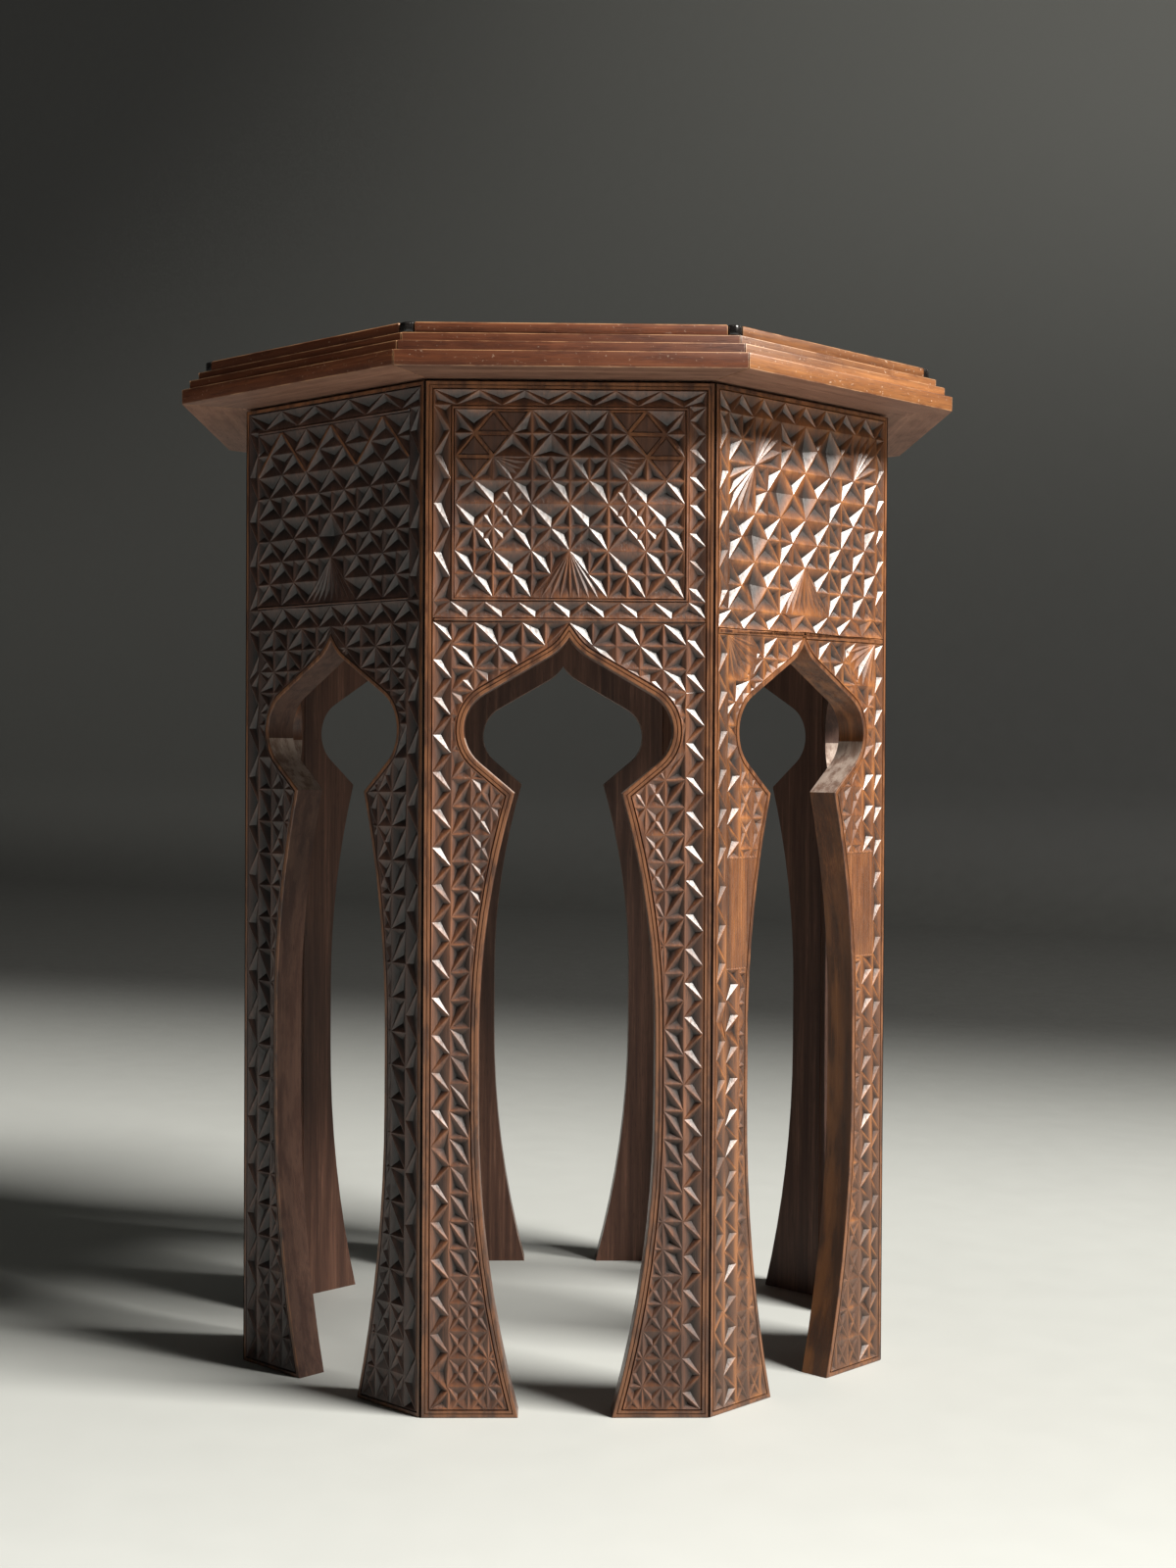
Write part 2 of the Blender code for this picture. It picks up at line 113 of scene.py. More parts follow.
def plane_face(piece):
    """Takes the main chips off a copied board, so that its front is one flat face again."""
    bpy.ops.object.mode_set(mode="EDIT")
    mesh = bmesh.from_edit_mesh(piece.data)
    for face in mesh.faces:
        chipped = face.calc_center_median().y < FACE_Y + CHIPS_WITHIN
        face.select_set(chipped and face.normal.y < CHIP_FACING)
    bmesh.update_edit_mesh(piece.data)
    bpy.ops.mesh.delete(type="FACE")
    bpy.ops.mesh.select_mode(type="EDGE")
    bpy.ops.mesh.select_non_manifold()
    bpy.ops.mesh.edge_face_add()
    bpy.ops.mesh.select_mode(type="FACE")
    bpy.ops.mesh.select_all(action="SELECT")
    bpy.ops.mesh.normals_make_consistent(inside=False)
    bpy.ops.mesh.dissolve_limited(angle_limit=FLAT_WITHIN)
    bpy.ops.object.mode_set(mode="OBJECT")


def store_grain(piece, along, draw):
    """Writes each point's place in its own plank, with the grain along the third number."""
    shift = Vector([draw.uniform(-GRAIN_SHIFT, GRAIN_SHIFT) for _ in range(3)])
    places = []
    for vertex in piece.data.vertices:
        x, y, z = vertex.co
        place = Vector((x, y, z) if along == "z" else (z, y, x))
        places.extend(place + shift)
    attribute = piece.data.attributes.new("plank", "FLOAT_VECTOR", "POINT")
    attribute.data.foreach_set("vector", places)


def hand_over(piece, node, turn):
    """Turns a finished piece to its side of the table, where it stands for its CAD node."""
    piece.data.transform(Matrix.Rotation(turn, 4, "Z"))
    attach(piece, "root")
    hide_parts(node)


# %% [markdown]
# ## Shader maths
# A finish is built from a few nodes. One class wraps a socket, so that `1 - mask` adds a Math node, and
# one method adds any other node from its type, its settings and what goes into its sockets.


# %% Shader helpers
class Tone:
    """A socket of a finish that Python expressions can work with."""

    def __init__(self, finish, socket):
        self.finish = finish
        self.socket = socket

    def math(self, operation, first, second=0.0):
        """Adds a Math node."""
        return self.finish.node("ShaderNodeMath", {"operation": operation}, {0: first, 1: second})

    def __add__(self, other):
        return self.math("ADD", self, other)

    def __radd__(self, other):
        return self.math("ADD", other, self)

    def __sub__(self, other):
        return self.math("SUBTRACT", self, other)

    def __rsub__(self, other):
        return self.math("SUBTRACT", other, self)

    def __mul__(self, other):
        return self.math("MULTIPLY", self, other)

    def __rmul__(self, other):
        return self.math("MULTIPLY", other, self)


class Finish:
    """A material built node by node."""

    def __init__(self, name):
        self.material = bpy.data.materials.new(name)
        self.material.use_nodes = True
        self.tree = self.material.node_tree
        self.shader = self.tree.nodes["Principled BSDF"]

    def feed(self, node, inputs):
        """Links or sets the inputs of a node."""
        for key, value in inputs.items():
            if isinstance(value, Tone):
                self.tree.links.new(value.socket, node.inputs[key])
            else:
                node.inputs[key].default_value = value

    def node(self, kind, settings, inputs, output=0):
        """Adds any node: its settings first, then its inputs."""
        made = self.tree.nodes.new(kind)
        for name, value in settings.items():
            setattr(made, name, value)
        self.feed(made, inputs)
        return Tone(self, made.outputs[output])

    def stretch(self, place, scale):
        """Scales a place along each axis."""
        return self.node("ShaderNodeVectorMath", {"operation": "MULTIPLY"}, {0: place, 1: scale}, "Vector")

    def noise(self, place, scale, detail=3.0, roughness=0.5, distortion=0.0):
        """Noise with a scale for each axis."""
        spread = self.stretch(place, scale)
        inputs = {"Vector": spread, "Scale": 1.0, "Detail": detail, "Roughness": roughness}
        inputs["Distortion"] = distortion
        return self.node("ShaderNodeTexNoise", {}, inputs)

    def ramp(self, value, low, high, start=0.0, end=1.0):
        """A smooth step between two values."""
        inputs = {"Value": value, "From Min": low, "From Max": high, "To Min": start, "To Max": end}
        return self.node("ShaderNodeMapRange", {"interpolation_type": "SMOOTHSTEP"}, inputs)

    def mix(self, share, first, second):
        """Blends two colours."""
        inputs = {0: share, 6: first, 7: second}
        return self.node("ShaderNodeMix", {"data_type": "RGBA"}, inputs, 2)

    def attribute(self, name, output):
        """Reads what is stored on the mesh."""
        return self.node("ShaderNodeAttribute", {"attribute_name": name}, {}, output)

    def bump(self, height, distance, strength=1.0):
        """A normal that follows a fine height."""
        inputs = {"Height": height, "Distance": distance, "Strength": strength}
        return self.node("ShaderNodeBump", {}, inputs, "Normal")


def colour(red, green, blue):
    """An opaque colour in linear light."""
    return (red, green, blue, 1.0)


# %% [markdown]
# ## The woods
# The table is a hardwood with a rubbed wax finish, brown at the front, more orange at the right and darker
# at the left, where the darker wood also paints in the shade of the side away from the lamp. A picture of
# wood would stretch over the cuts, so the grain is noise that is drawn out along each plank, with finer noise
# for the pores. On the carved boards the depth of the cut is stored on the mesh: the bottoms of the cuts are
# darkened, for dirt and as painted shade in the hollows, hands have polished the ridges, and the wood darkens
# and greys towards the floor, for dust and as painted shade where the light falls off downwards.

# %% Grain of the woods
BAND, STREAK, LINE = (34, 34, 1.6), (210, 210, 7), (760, 760, 13)
FIBRE, PORE = (1500, 1500, 42), (2300, 2300, 110)
PATCH, SMEAR = (110, 110, 22), (520, 520, 210)
RUB, SPECK = (150, 150, 40), (620, 620, 480)
SPECK_TONE = (0.55, 0.42, 0.32, 1.0)
# Painted shade and dust: towards the floor the wood darkens and greys.
FOOT_DUST_AND_SHADE_TONE = (0.055, 0.034, 0.025, 1.0)
FOOT_DARKENING_FULL, FOOT_DARKENING_ENDS = 0.01, 0.33
# How dark the pores are, and the bottoms of the cuts, which hold dirt and painted shade.
PORE_SHADE, DIRT_AND_SHADE_SHARE = 0.35, 0.12
GRAIN_RELIEF = 0.00012
WAX_ROUGHNESS = 0.27


def darker(tone, share):
    """A colour with only a share of its light."""
    return colour(*(share * part for part in tone))


def wood(name, dark, middle, light, shine=0.36, coat=0.25, cut=False, wear=0.0, specks=0.0, gloss=0.5,
         foot_dust_and_shade=0.0):
    """Waxed wood whose grain follows the plank that the piece was sawn from."""
    finish = Finish(name)
    pore_tone, dirt_and_shade_tone = darker(dark, PORE_SHADE), darker(dark, DIRT_AND_SHADE_SHARE)
    dark, middle, light = colour(*dark), colour(*middle), colour(*light)
    plank = finish.attribute("plank", "Vector")
    band = finish.noise(plank, BAND, 3.0, 0.55, 0.6)
    streak = finish.noise(plank, STREAK, 4.0, 0.6, 0.3)
    fibre = finish.noise(plank, FIBRE, 2.0, 0.6)
    pore = finish.noise(plank, PORE, 1.0)
    tone = finish.ramp(0.55 * band + 0.45 * streak, 0.32, 0.66)
    shade = finish.mix(tone, dark, middle)
    glow = finish.ramp(0.6 * streak + 0.4 * fibre, 0.50, 0.72)
    shade = finish.mix(0.55 * glow, shade, light)
    line = finish.noise(plank, LINE, 3.0, 0.65)
    shade = finish.mix(finish.ramp(line, 0.50, 0.66, 0.0, 0.40), shade, dark)
    pores = finish.ramp(pore, 0.60, 0.70)
    shade = finish.mix(0.45 * pores, shade, pore_tone)
    roughness = shine + 0.10 * fibre + 0.08 * pores
    height = 0.5 * fibre - 0.8 * pores + 0.4 * streak
    # Darker and greyer towards the floor: dust, and painted shade where the light falls off.
    if foot_dust_and_shade:
        place = finish.node("ShaderNodeTexCoord", {}, {}, "Object")
        above_floor = finish.node("ShaderNodeSeparateXYZ", {}, {"Vector": place}, "Z")
        shade = finish.mix(finish.ramp(above_floor, FOOT_DARKENING_FULL, FOOT_DARKENING_ENDS, foot_dust_and_shade, 0.0), shade, FOOT_DUST_AND_SHADE_TONE)
    if cut:
        # Darker towards the bottoms of the cuts: dirt, and painted shade in the hollows.
        depth = finish.attribute("cut", "Fac")
        dirt_and_shade = finish.ramp(depth, 0.08, 0.62)
        shade = finish.mix(0.94 * dirt_and_shade, shade, dirt_and_shade_tone)
        patch = finish.ramp(finish.noise(plank, PATCH, 4.0), 0.42, 0.66)
        worn = patch * finish.ramp(depth, 0.0, 0.22, 1.0, 0.0)
        shade = finish.mix(0.5 * worn, shade, light)
        smear = finish.ramp(finish.noise(plank, SMEAR, 3.0, 0.6), 0.47, 0.68)
        roughness = roughness + 0.10 * dirt_and_shade + 0.20 * smear - 0.05 * worn
    if wear:
        rub = finish.noise(plank, RUB, 4.0, 0.65)
        shade = finish.mix(wear * finish.ramp(rub, 0.40, 0.58), shade, light)
    if specks:
        speck = finish.noise(plank, SPECK, 2.0, 0.6)
        shade = finish.mix(specks * finish.ramp(speck, 0.66, 0.72), shade, SPECK_TONE)
    finish.feed(finish.shader, {
        "Base Color": shade,
        "Roughness": roughness,
        "Normal": finish.bump(height, GRAIN_RELIEF, 0.5),
        "Coat Weight": coat,
        "Coat Roughness": WAX_ROUGHNESS,
        "Specular IOR Level": gloss,
    })
    return finish.material


# %% [markdown]
# ## The finishes of the pieces
# Each finish is the same wood with its own three tones, dark, middle and light, and its own wear. One finish
# for all would be quicker, but the seams, the sawn insides of the arches, the plain backs of the boards and
# the rubbed edges of the top each look different on the real table. The seams are nearly black, for dirt and
# as painted shade in the joints, and the left board's darker wood is partly painted shade.

# %% Finishes of the pieces
carved_brown = wood(
    "carved_board_finish", (0.030, 0.011, 0.006), (0.096, 0.035, 0.016), (0.25, 0.098, 0.042),
    shine=0.33, coat=0.20, cut=True, gloss=0.52, foot_dust_and_shade=0.18,
)
carved_orange = wood(
    "carved_board_orange_finish", (0.054, 0.018, 0.005), (0.152, 0.050, 0.014), (0.36, 0.140, 0.042),
    shine=0.34, coat=0.26, cut=True, gloss=0.50, foot_dust_and_shade=0.58,
)
# The left board: darker wood, which also paints in the shade of the side away from the lamp.
carved_dark_and_shaded = wood(
    "carved_board_dark_and_shaded_finish", (0.014, 0.006, 0.005), (0.042, 0.018, 0.012), (0.12, 0.056, 0.038),
    shine=0.32, coat=0.24, cut=True, gloss=0.48,
)
carved_edge = wood(
    "carved_board_worn_edge", (0.024, 0.008, 0.004), (0.096, 0.034, 0.013), (0.26, 0.104, 0.040),
    shine=0.34, coat=0.18, wear=0.45, gloss=0.45, foot_dust_and_shade=0.45,
)
# Nearly black seams: dirt, and painted shade in the joints between the boards.
seam_dirt_and_shade = wood(
    "board_seam_dirt_and_shade", (0.003, 0.002, 0.0015), (0.006, 0.004, 0.003), (0.012, 0.008, 0.006),
    shine=0.75, coat=0.0, gloss=0.1,
)
sawn_edge = wood(
    "arch_sawn_edge", (0.028, 0.011, 0.007), (0.055, 0.023, 0.014), (0.12, 0.064, 0.043),
    shine=0.56, coat=0.0, wear=0.30, gloss=0.35,
)
dusty_edge = wood(
    "arch_dusty_edge", (0.13, 0.075, 0.055), (0.27, 0.19, 0.15), (0.50, 0.42, 0.36),
    shine=0.56, coat=0.0, wear=0.45, gloss=0.35,
)
board_inside = wood(
    "board_inside_face", (0.042, 0.018, 0.012), (0.130, 0.060, 0.038), (0.27, 0.140, 0.092),
    shine=0.46, coat=0.05, gloss=0.35,
)
top_wood = wood(
    "top_finish", (0.050, 0.014, 0.006), (0.115, 0.033, 0.013), (0.22, 0.074, 0.031),
    shine=0.50, coat=0.03, wear=0.15, specks=0.22, gloss=0.2,
)
top_orange = wood(
    "top_orange_finish", (0.080, 0.028, 0.009), (0.190, 0.070, 0.021), (0.36, 0.155, 0.050),
    shine=0.44, coat=0.08, wear=0.15, specks=0.4, gloss=0.3,
)
top_under = wood(
    "top_underside_finish", (0.10, 0.042, 0.024), (0.21, 0.098, 0.060), (0.33, 0.180, 0.118),
    shine=0.60, coat=0.0, wear=0.2,
)
top_edge = wood(
    "top_worn_edge", (0.07, 0.024, 0.010), (0.16, 0.058, 0.023), (0.46, 0.25, 0.12),
    shine=0.34, coat=0.20, wear=0.5,
)
key_wood = wood(
    "corner_key_finish", (0.004, 0.003, 0.003), (0.010, 0.008, 0.007), (0.022, 0.018, 0.015),
    shine=0.12, coat=0.6,
)
inside_wood = wood(
    "inside_finish", (0.16, 0.085, 0.042), (0.27, 0.155, 0.082), (0.38, 0.24, 0.14),
    shine=0.62, coat=0.0,
)
STEEL_CLOUD, STEEL_MARK = (240, 240, 240), (400, 400, 5200)


def steel(name):
    """Dull screw steel with fine turning marks."""
    finish = Finish(name)
    place = finish.node("ShaderNodeTexCoord", {}, {}, "Object")
    cloud = finish.noise(place, STEEL_CLOUD, 4.0)
    mark = finish.noise(place, STEEL_MARK, 2.0)
    finish.feed(finish.shader, {
        "Base Color": finish.mix(cloud, colour(0.20, 0.17, 0.14), colour(0.46, 0.43, 0.40)),
        "Metallic": 1.0,
        "Roughness": 0.34 + 0.25 * cloud,
        "Normal": finish.bump(mark, 0.00006, 0.6),
    })
    return finish.material


screw_steel = steel("screw_steel_finish")
print("finishes:", len(bpy.data.materials))

# %% [markdown]
# ## Carving tools
# A carver scores lines first and lifts chips after. Every face of a board being carved carries a zone number.
# `pick` selects faces by zone and by the place of their middle, `score` draws a knife line across them with
# the bisect operator, and `merge` joins cells. Cutting shapes out with booleans would be slower, and would
# leave no cells to name.

# %% Carving tools
PLAIN, GROUND, FILLET, FAN, FLAT, OUTLINED, TENT = range(7)


def anywhere(u, z):
    """Passes every place."""
    return True


def board_mesh():
    """The edited board's mesh and its zone numbers."""
    mesh = bmesh.from_edit_mesh(bpy.context.edit_object.data)
    zones = mesh.faces.layers.int.get("zone") or mesh.faces.layers.int.new("zone")
    return mesh, zones


def refresh():
    """Shows Blender what was changed on the edited board."""
    bmesh.update_edit_mesh(bpy.context.edit_object.data)


def middle_of(face):
    """The middle of a face as (u, z) in millimetres."""
    centre = face.calc_center_median_weighted()
    return centre.x / MM, centre.z / MM


def pick(zone, test):
    """Selects the faces of a zone whose middle passes a test, and says how many there are."""
    mesh, zones = board_mesh()
    for face in mesh.faces:
        face.select_set(False)
    chosen = [face for face in mesh.faces if face[zones] == zone and test(*middle_of(face))]
    for face in chosen:
        face.select_set(True)
    refresh()
    return len(chosen)


def mark(zone):
    """Gives the selected faces a zone number."""
    mesh, zones = board_mesh()
    for face in mesh.faces:
        if face.select:
            face[zones] = zone
    refresh()


def score(zone, test, start, run):
    """Cuts a straight line through a point of the face along a run of (u, z)."""
    if pick(zone, test):
        spot = (start[0] * MM, FACE_Y, start[1] * MM)
        across = Vector((run[1], 0.0, -run[0])).normalized()
        bpy.ops.mesh.bisect(plane_co=spot, plane_no=across)


def merge(zone, test, new_zone=None):
    """Joins the chosen cells into one."""
    if pick(zone, test) > 1:
        bpy.ops.mesh.dissolve_faces()
    if new_zone is not None and pick(zone, test):
        mark(new_zone)


def groove(width, depth):
    """A V-shaped line along the edge of the selected region, which stays level inside it."""
    bpy.ops.mesh.inset(thickness=width * MM / 2, depth=-depth * MM)
    bpy.ops.mesh.inset(thickness=width * MM / 2, depth=depth * MM)


# %% [markdown]
# ## The layout of a board
# A plain strip follows the whole outline, with a scored line inside it, and on the front board a second line
# parts a bead from the strip. Within that come a zigzag border along the top, a zigzag column down each side,
# and a field of twelve half-columns and eight rows. Below the field runs a second zigzag. The spandrels over
# the arch and the legs have smaller triangles. The boards were not cut to one measure, so a plan holds the
# sizes of each in millimetres, and one set of functions cuts them all.

# %% Layout of a board
LINE_WIDTH, LINE_DEPTH = 0.5, 0.7
GROOVE_WIDTH, GROOVE_DEPTH = 0.9, 1.0
FILLET_WIDTH, FILLET_DEPTH = 0.5, 1.0
EASED_EDGE, EASED_STEPS = 0.5, 2
ROUND_STEP, ROUND_RISES = 0.25, (0.35, 0.15)
SQUARE_FRONT = -0.999
FIELD_COLUMNS, FIELD_ROWS = 12, 8
SPANDREL_FOOT = 372.0
ACROSS, UPWARD = (1, 0), (0, 1)
WORN, SAWN, DUSTY, INSIDE, SEAM = range(1, 6)


class Plan(SimpleNamespace):
    """The sizes of one carver's board, and where a place (u, z) lies on it."""

    def margin(self):
        """From the edge of the board to the carved ground."""
        return self.strip + GROOVE_WIDTH + EASED_EDGE

    def inside_half(self):
        return BOARD_HALF - self.margin()

    def half_column(self):
        return 2 * self.field_half / FIELD_COLUMNS

    def row(self):
        return (self.field_top - self.field_foot) / FIELD_ROWS

    def in_field(self, u, z):
        return abs(u) < self.field_half and self.field_foot < z < self.field_top

    def in_top_border(self, u, z):
        return z > self.border_foot

    def in_lower_border(self, u, z):
        return self.lower_foot < z < self.lower_top

    def in_upper_column(self, u, z):
        return abs(u) > self.column_edge and self.lower_top < z < self.border_foot

    def in_lower_column(self, u, z):
        return abs(u) > self.leg_edge and z < self.arch_top

    def in_arch(self, u, z):
        return abs(u) < self.leg_edge and z < self.arch_top

    def in_leg(self, side, u, z):
        return self.in_arch(u, z) and z < SPANDREL_FOOT and side * u > 0

    def spot(self, column, line):
        """The crossing of a half-column and a line of the field, in (u, z)."""
        return (column - FIELD_COLUMNS / 2) * self.half_column(), self.field_top - line * self.row()

    def cell(self, u, z):
        """The row and the half-column of a place in the field."""
        line = min(int((self.field_top - z) / self.row()), FIELD_ROWS - 1)
        return line, round(u / self.half_column()) + FIELD_COLUMNS // 2

    def code(self, u, z):
        """The letter of the pattern at a place in the field."""
        line, column = self.cell(u, z)
        return self.field[line][column]


def lay_out(plan):
    """Scores the outline and the frames on the edited board, and names the zones."""
    mesh, _ = board_mesh()
    for face in mesh.faces:
        face.select_set(face.normal.y < SQUARE_FRONT)
    refresh()
    bpy.ops.mesh.select_mode(type="EDGE")
    bpy.ops.mesh.region_to_loop()
    bpy.ops.mesh.bevel(offset=EASED_EDGE * MM, segments=EASED_STEPS, material=WORN)
    bpy.ops.mesh.select_mode(type="FACE")
    mesh, _ = board_mesh()
    for face in mesh.faces:
        face.select_set(face.normal.y < SQUARE_FRONT)
    refresh()
    if plan.bead:
        bpy.ops.mesh.inset(thickness=plan.bead * MM)
        groove(LINE_WIDTH, LINE_DEPTH)
        bpy.ops.mesh.inset(thickness=(plan.strip - plan.bead - LINE_WIDTH) * MM)
    else:
        bpy.ops.mesh.inset(thickness=plan.strip * MM)
    groove(GROOVE_WIDTH, GROOVE_DEPTH)
    mark(GROUND)
    levels = {plan.border_foot, plan.lower_top, plan.lower_foot, plan.arch_top}
    for level in sorted(levels):
        score(GROUND, anywhere, (0, level), ACROSS)
    for side in (-1, 1):
        score(GROUND, lambda u, z: plan.lower_top < z < plan.border_foot,
              (side * plan.column_edge, 0), UPWARD)
        score(GROUND, lambda u, z: z < plan.arch_top, (side * plan.leg_edge, 0), UPWARD)
    beside = lambda u, z: abs(u) < plan.column_edge and plan.lower_top < z < plan.border_foot
    for level in {plan.field_top, plan.field_foot} - levels:
        score(GROUND, beside, (0, level), ACROSS)
    if plan.field_half < plan.column_edge:
        for side in (-1, 1):
            score(GROUND, lambda u, z: beside(u, z) and plan.field_foot < z < plan.field_top,
                  (side * plan.field_half, 0), UPWARD)


def round_over():
    """Raises the selected region a little, with a rounded edge."""
    for rise in ROUND_RISES:
        bpy.ops.mesh.inset(thickness=ROUND_STEP * MM, depth=rise * MM)


def leave_fillets(plan):
    """Leaves the raised fillets round the field and over the arch between scored lines."""
    frames = (
        lambda u, z: (abs(u) < plan.column_edge and plan.lower_top < z < plan.border_foot
                      and not plan.in_field(u, z)),
        lambda u, z: plan.arch_top < z < plan.lower_foot,
    )
    for frame_test in frames:
        if pick(GROUND, frame_test):
            groove(FILLET_WIDTH, FILLET_DEPTH)
            round_over()
            mark(FILLET)


# %% [markdown]
# ## Zigzags and lattices
# The borders are runs of single triangles and the field is rows of them. Each triangle could be drawn alone,
# but long lines part many cells in one cut, as a carver's ruler does. A zigzag is two families of parallel
# lines that meet on the edges of a strip. A lattice is level lines with two families of diagonals through
# every second crossing, so each row is a run of triangles.

# %% Zigzags and lattices
CELL_SLACK = 0.2


def zigzag_row(test, left, right, start, turn, teeth):
    """Scores a zigzag that starts on one edge of a level strip and turns at the other."""
    step = (right - left) / teeth
    for tooth in range(teeth):
        place = left + tooth * step
        score(GROUND, test, (place, start), (step / 2, turn - start))
        score(GROUND, test, (place + step, start), (-step / 2, turn - start))


def zigzag_column(test, outer, inner, low, high, period):
    """Scores a zigzag up a strip, with a whole number of teeth near the period."""
    teeth = max(1, round((high - low) / period))
    step = (high - low) / teeth
    for tooth in range(teeth):
        start = low + tooth * step
        score(GROUND, test, (outer, start), (inner - outer, step / 2))
        score(GROUND, test, (outer, start + step), (inner - outer, -step / 2))


def lattice(test, left, top, half, row, columns, rows):
    """Scores rows of triangles: level lines and both families of diagonals."""
    for line in range(1, rows):
        score(GROUND, test, (0, top - line * row), ACROSS)
    for column in range(-rows - rows % 2, columns, 2):
        score(GROUND, test, (left + column * half, top), (half, -row))
    for column in range(2, columns + rows + 1, 2):
        score(GROUND, test, (left + column * half, top), (-half, -row))


def split_triangles(test, code_at, left, top, half, row, columns, rows):
    """Splits the cells coded v down the middle, and the cells coded q into four."""
    for column in range(1, columns):
        centre = left + column * half
        score(GROUND, lambda u, z: test(u, z) and abs(u - centre) < half / 2 and code_at(u, z) in "vq",
              (centre, top), UPWARD)
    for line in range(rows):
        for column in range(1, columns):
            spot = (left + column * half, top - (line + 0.5) * row)
            if not test(*spot) or code_at(*spot) != "q":
                continue
            upright = (line + column) % 2 == 0
            foot = top - (line + 1) * row if upright else top - line * row
            rise = row if upright else -row
            here = lambda u, z: abs(u - spot[0]) < half / 2 + CELL_SLACK and abs(z - spot[1]) < row / 2
            for lean in (-half, half):
                score(GROUND, here, (spot[0], foot), (lean, rise))


# %% [markdown]
# ## Fans
# A fan is a cell that is cut into narrow grooves which all run to one point. A fan modelled apart would need
# fitting into its place. So the cells there are merged again, and the rays are scored from the point to
# places along the far edge.


# %% Fans
def fan(test, point, aims):
    """Joins the chosen cells and scores rays across them from a point."""
    merge(GROUND, test, FAN)
    for aim in aims:
        score(FAN, test, point, (aim[0] - point[0], aim[1] - point[1]))


def between(first, last, count):
    """Points that part a straight edge into equal shares, without its ends."""
    shares = [step / count for step in range(1, count)]
    return [(first[0] + (last[0] - first[0]) * s, first[1] + (last[1] - first[1]) * s) for s in shares]


def block_fan(region, low_u, high_u, low_z, high_z, point, rays):
    """A fan in a square block, from one corner of the block."""
    level = lambda u, z: region(u, z) and low_z < z < high_z
    reach = high_u - low_u
    for edge in (low_u, high_u):
        score(GROUND, lambda u, z: level(u, z) and abs(u - edge) < reach, (edge, 0), UPWARD)
    far_u = high_u if point[0] == low_u else low_u
    far_z = high_z if point[1] == low_z else low_z
    corner = (far_u, far_z)
    aims = between((point[0], far_z), corner, rays) + [corner] + between(corner, (far_u, point[1]), rays)
    fan(lambda u, z: level(u, z) and low_u < u < high_u, point, aims)


# %% [markdown]
# ## Lifting the chips
# A chip is a small pit with three or four facets. Displacing the face by a texture would round it, and the
# real cuts are sharp. So each cell is inset by a hair, which leaves the ridges between cells standing at the
# face of the board. Then it is poked, and its deep point is sunk in proportion to the cell's size, so all
# facets slope nearly alike. A seeded unsteadiness stands for the carver's hand.

# %% Lifting the chips
DEEP_POINT_HEIGHT = 0.58
DEEPEST = 3.0
STRAIGHT_WITHIN = 0.55
LEVEL_WITHIN, EVEN_WITHIN = 0.12, 0.15
KNIFE_STRAY, POINT_STRAY, DEPTH_RANGE = 0.16, 0.10, (0.84, 1.12)
NARROWEST, GROOVE_WALL = 0.75, -0.9
OUTLINE_STEPS = ((0.8, 0.0), (0.35, -1.0), (0.45, 0.30))
CHIP_LAND, CHIP_SLOPE = 0.30, 0.66
RAY_LAND, RAY_SLOPE, RAY_SPREAD = 0.15, 0.68, 0.35


def off_line(spot, start, end):
    """How far a point is from the line through two others."""
    return (spot - start).cross((end - start).normalized()).length


def corners_of(vertex):
    """The corners of the cell round a poked point, in order, without the points on straight sides."""
    ring = [edge.other_vert(vertex).co.copy() for edge in vertex.link_edges]
    ring.sort(key=lambda spot: math.atan2(spot.z - vertex.co.z, spot.x - vertex.co.x))
    while len(ring) > 3:
        gaps = [off_line(ring[i], ring[i - 1], ring[(i + 1) % len(ring)]) for i in range(len(ring))]
        if min(gaps) > STRAIGHT_WITHIN * MM:
            break
        ring.pop(gaps.index(min(gaps)))
    return ring


def inner_centre(corners):
    """The point inside a triangle that is as far from every side."""
    weights = [(corners[i - 1] - corners[i - 2]).length for i in range(3)]
    return sum((weight * corner for weight, corner in zip(weights, corners)), Vector()) / sum(weights)


def sides_of(corners):
    """The sides of a cell as pairs of corners."""
    return [(corners[index - 1], corners[index]) for index in range(len(corners))]


def side_length(side):
    """How long a side is."""
    return (side[1] - side[0]).length


def deep_point(middle, corners, spread):
    """Where the knife went deepest in a cell."""
    sides = sides_of(corners)
    if spread:
        short = min(sides, key=side_length)
        return middle.lerp((short[0] + short[1]) / 2, spread)
    if len(corners) != 3:
        return middle.copy()
    long = max(sides, key=side_length)
    base = (long[0] + long[1]) / 2
    run = (long[1] - long[0]).normalized()
    tip = next(corner for corner in corners if corner not in long)
    level = min(abs(run.x), abs(run.z)) < LEVEL_WITHIN
    if level and abs((tip - base).dot(run)) < EVEN_WITHIN * side_length(long):
        return base.lerp(tip, DEEP_POINT_HEIGHT)
    return inner_centre(corners)


def off_side(spot, start, end):
    """How far a point is from a side between two corners."""
    run = end - start
    share = min(max((spot - start).dot(run) / run.length_squared, 0.0), 1.0)
    return (spot - start.lerp(end, share)).length


def nearest_side(point, corners):
    """How far a point inside a cell is from the cell's nearest side."""
    return min(off_side(point, start, end) for start, end in sides_of(corners))


def unsettle(draw, amount):
    """Moves the crossings inside the carved ground a little, as a hand-held knife does."""
    mesh, zones = board_mesh()
    for vertex in mesh.verts:
        carved = [face[zones] in (GROUND, FAN) for face in vertex.link_faces]
        shift_u, shift_z = draw.gauss(0, amount), draw.gauss(0, amount)
        if carved and all(carved):
            vertex.co.x += shift_u * MM
            vertex.co.z += shift_z * MM
    refresh()


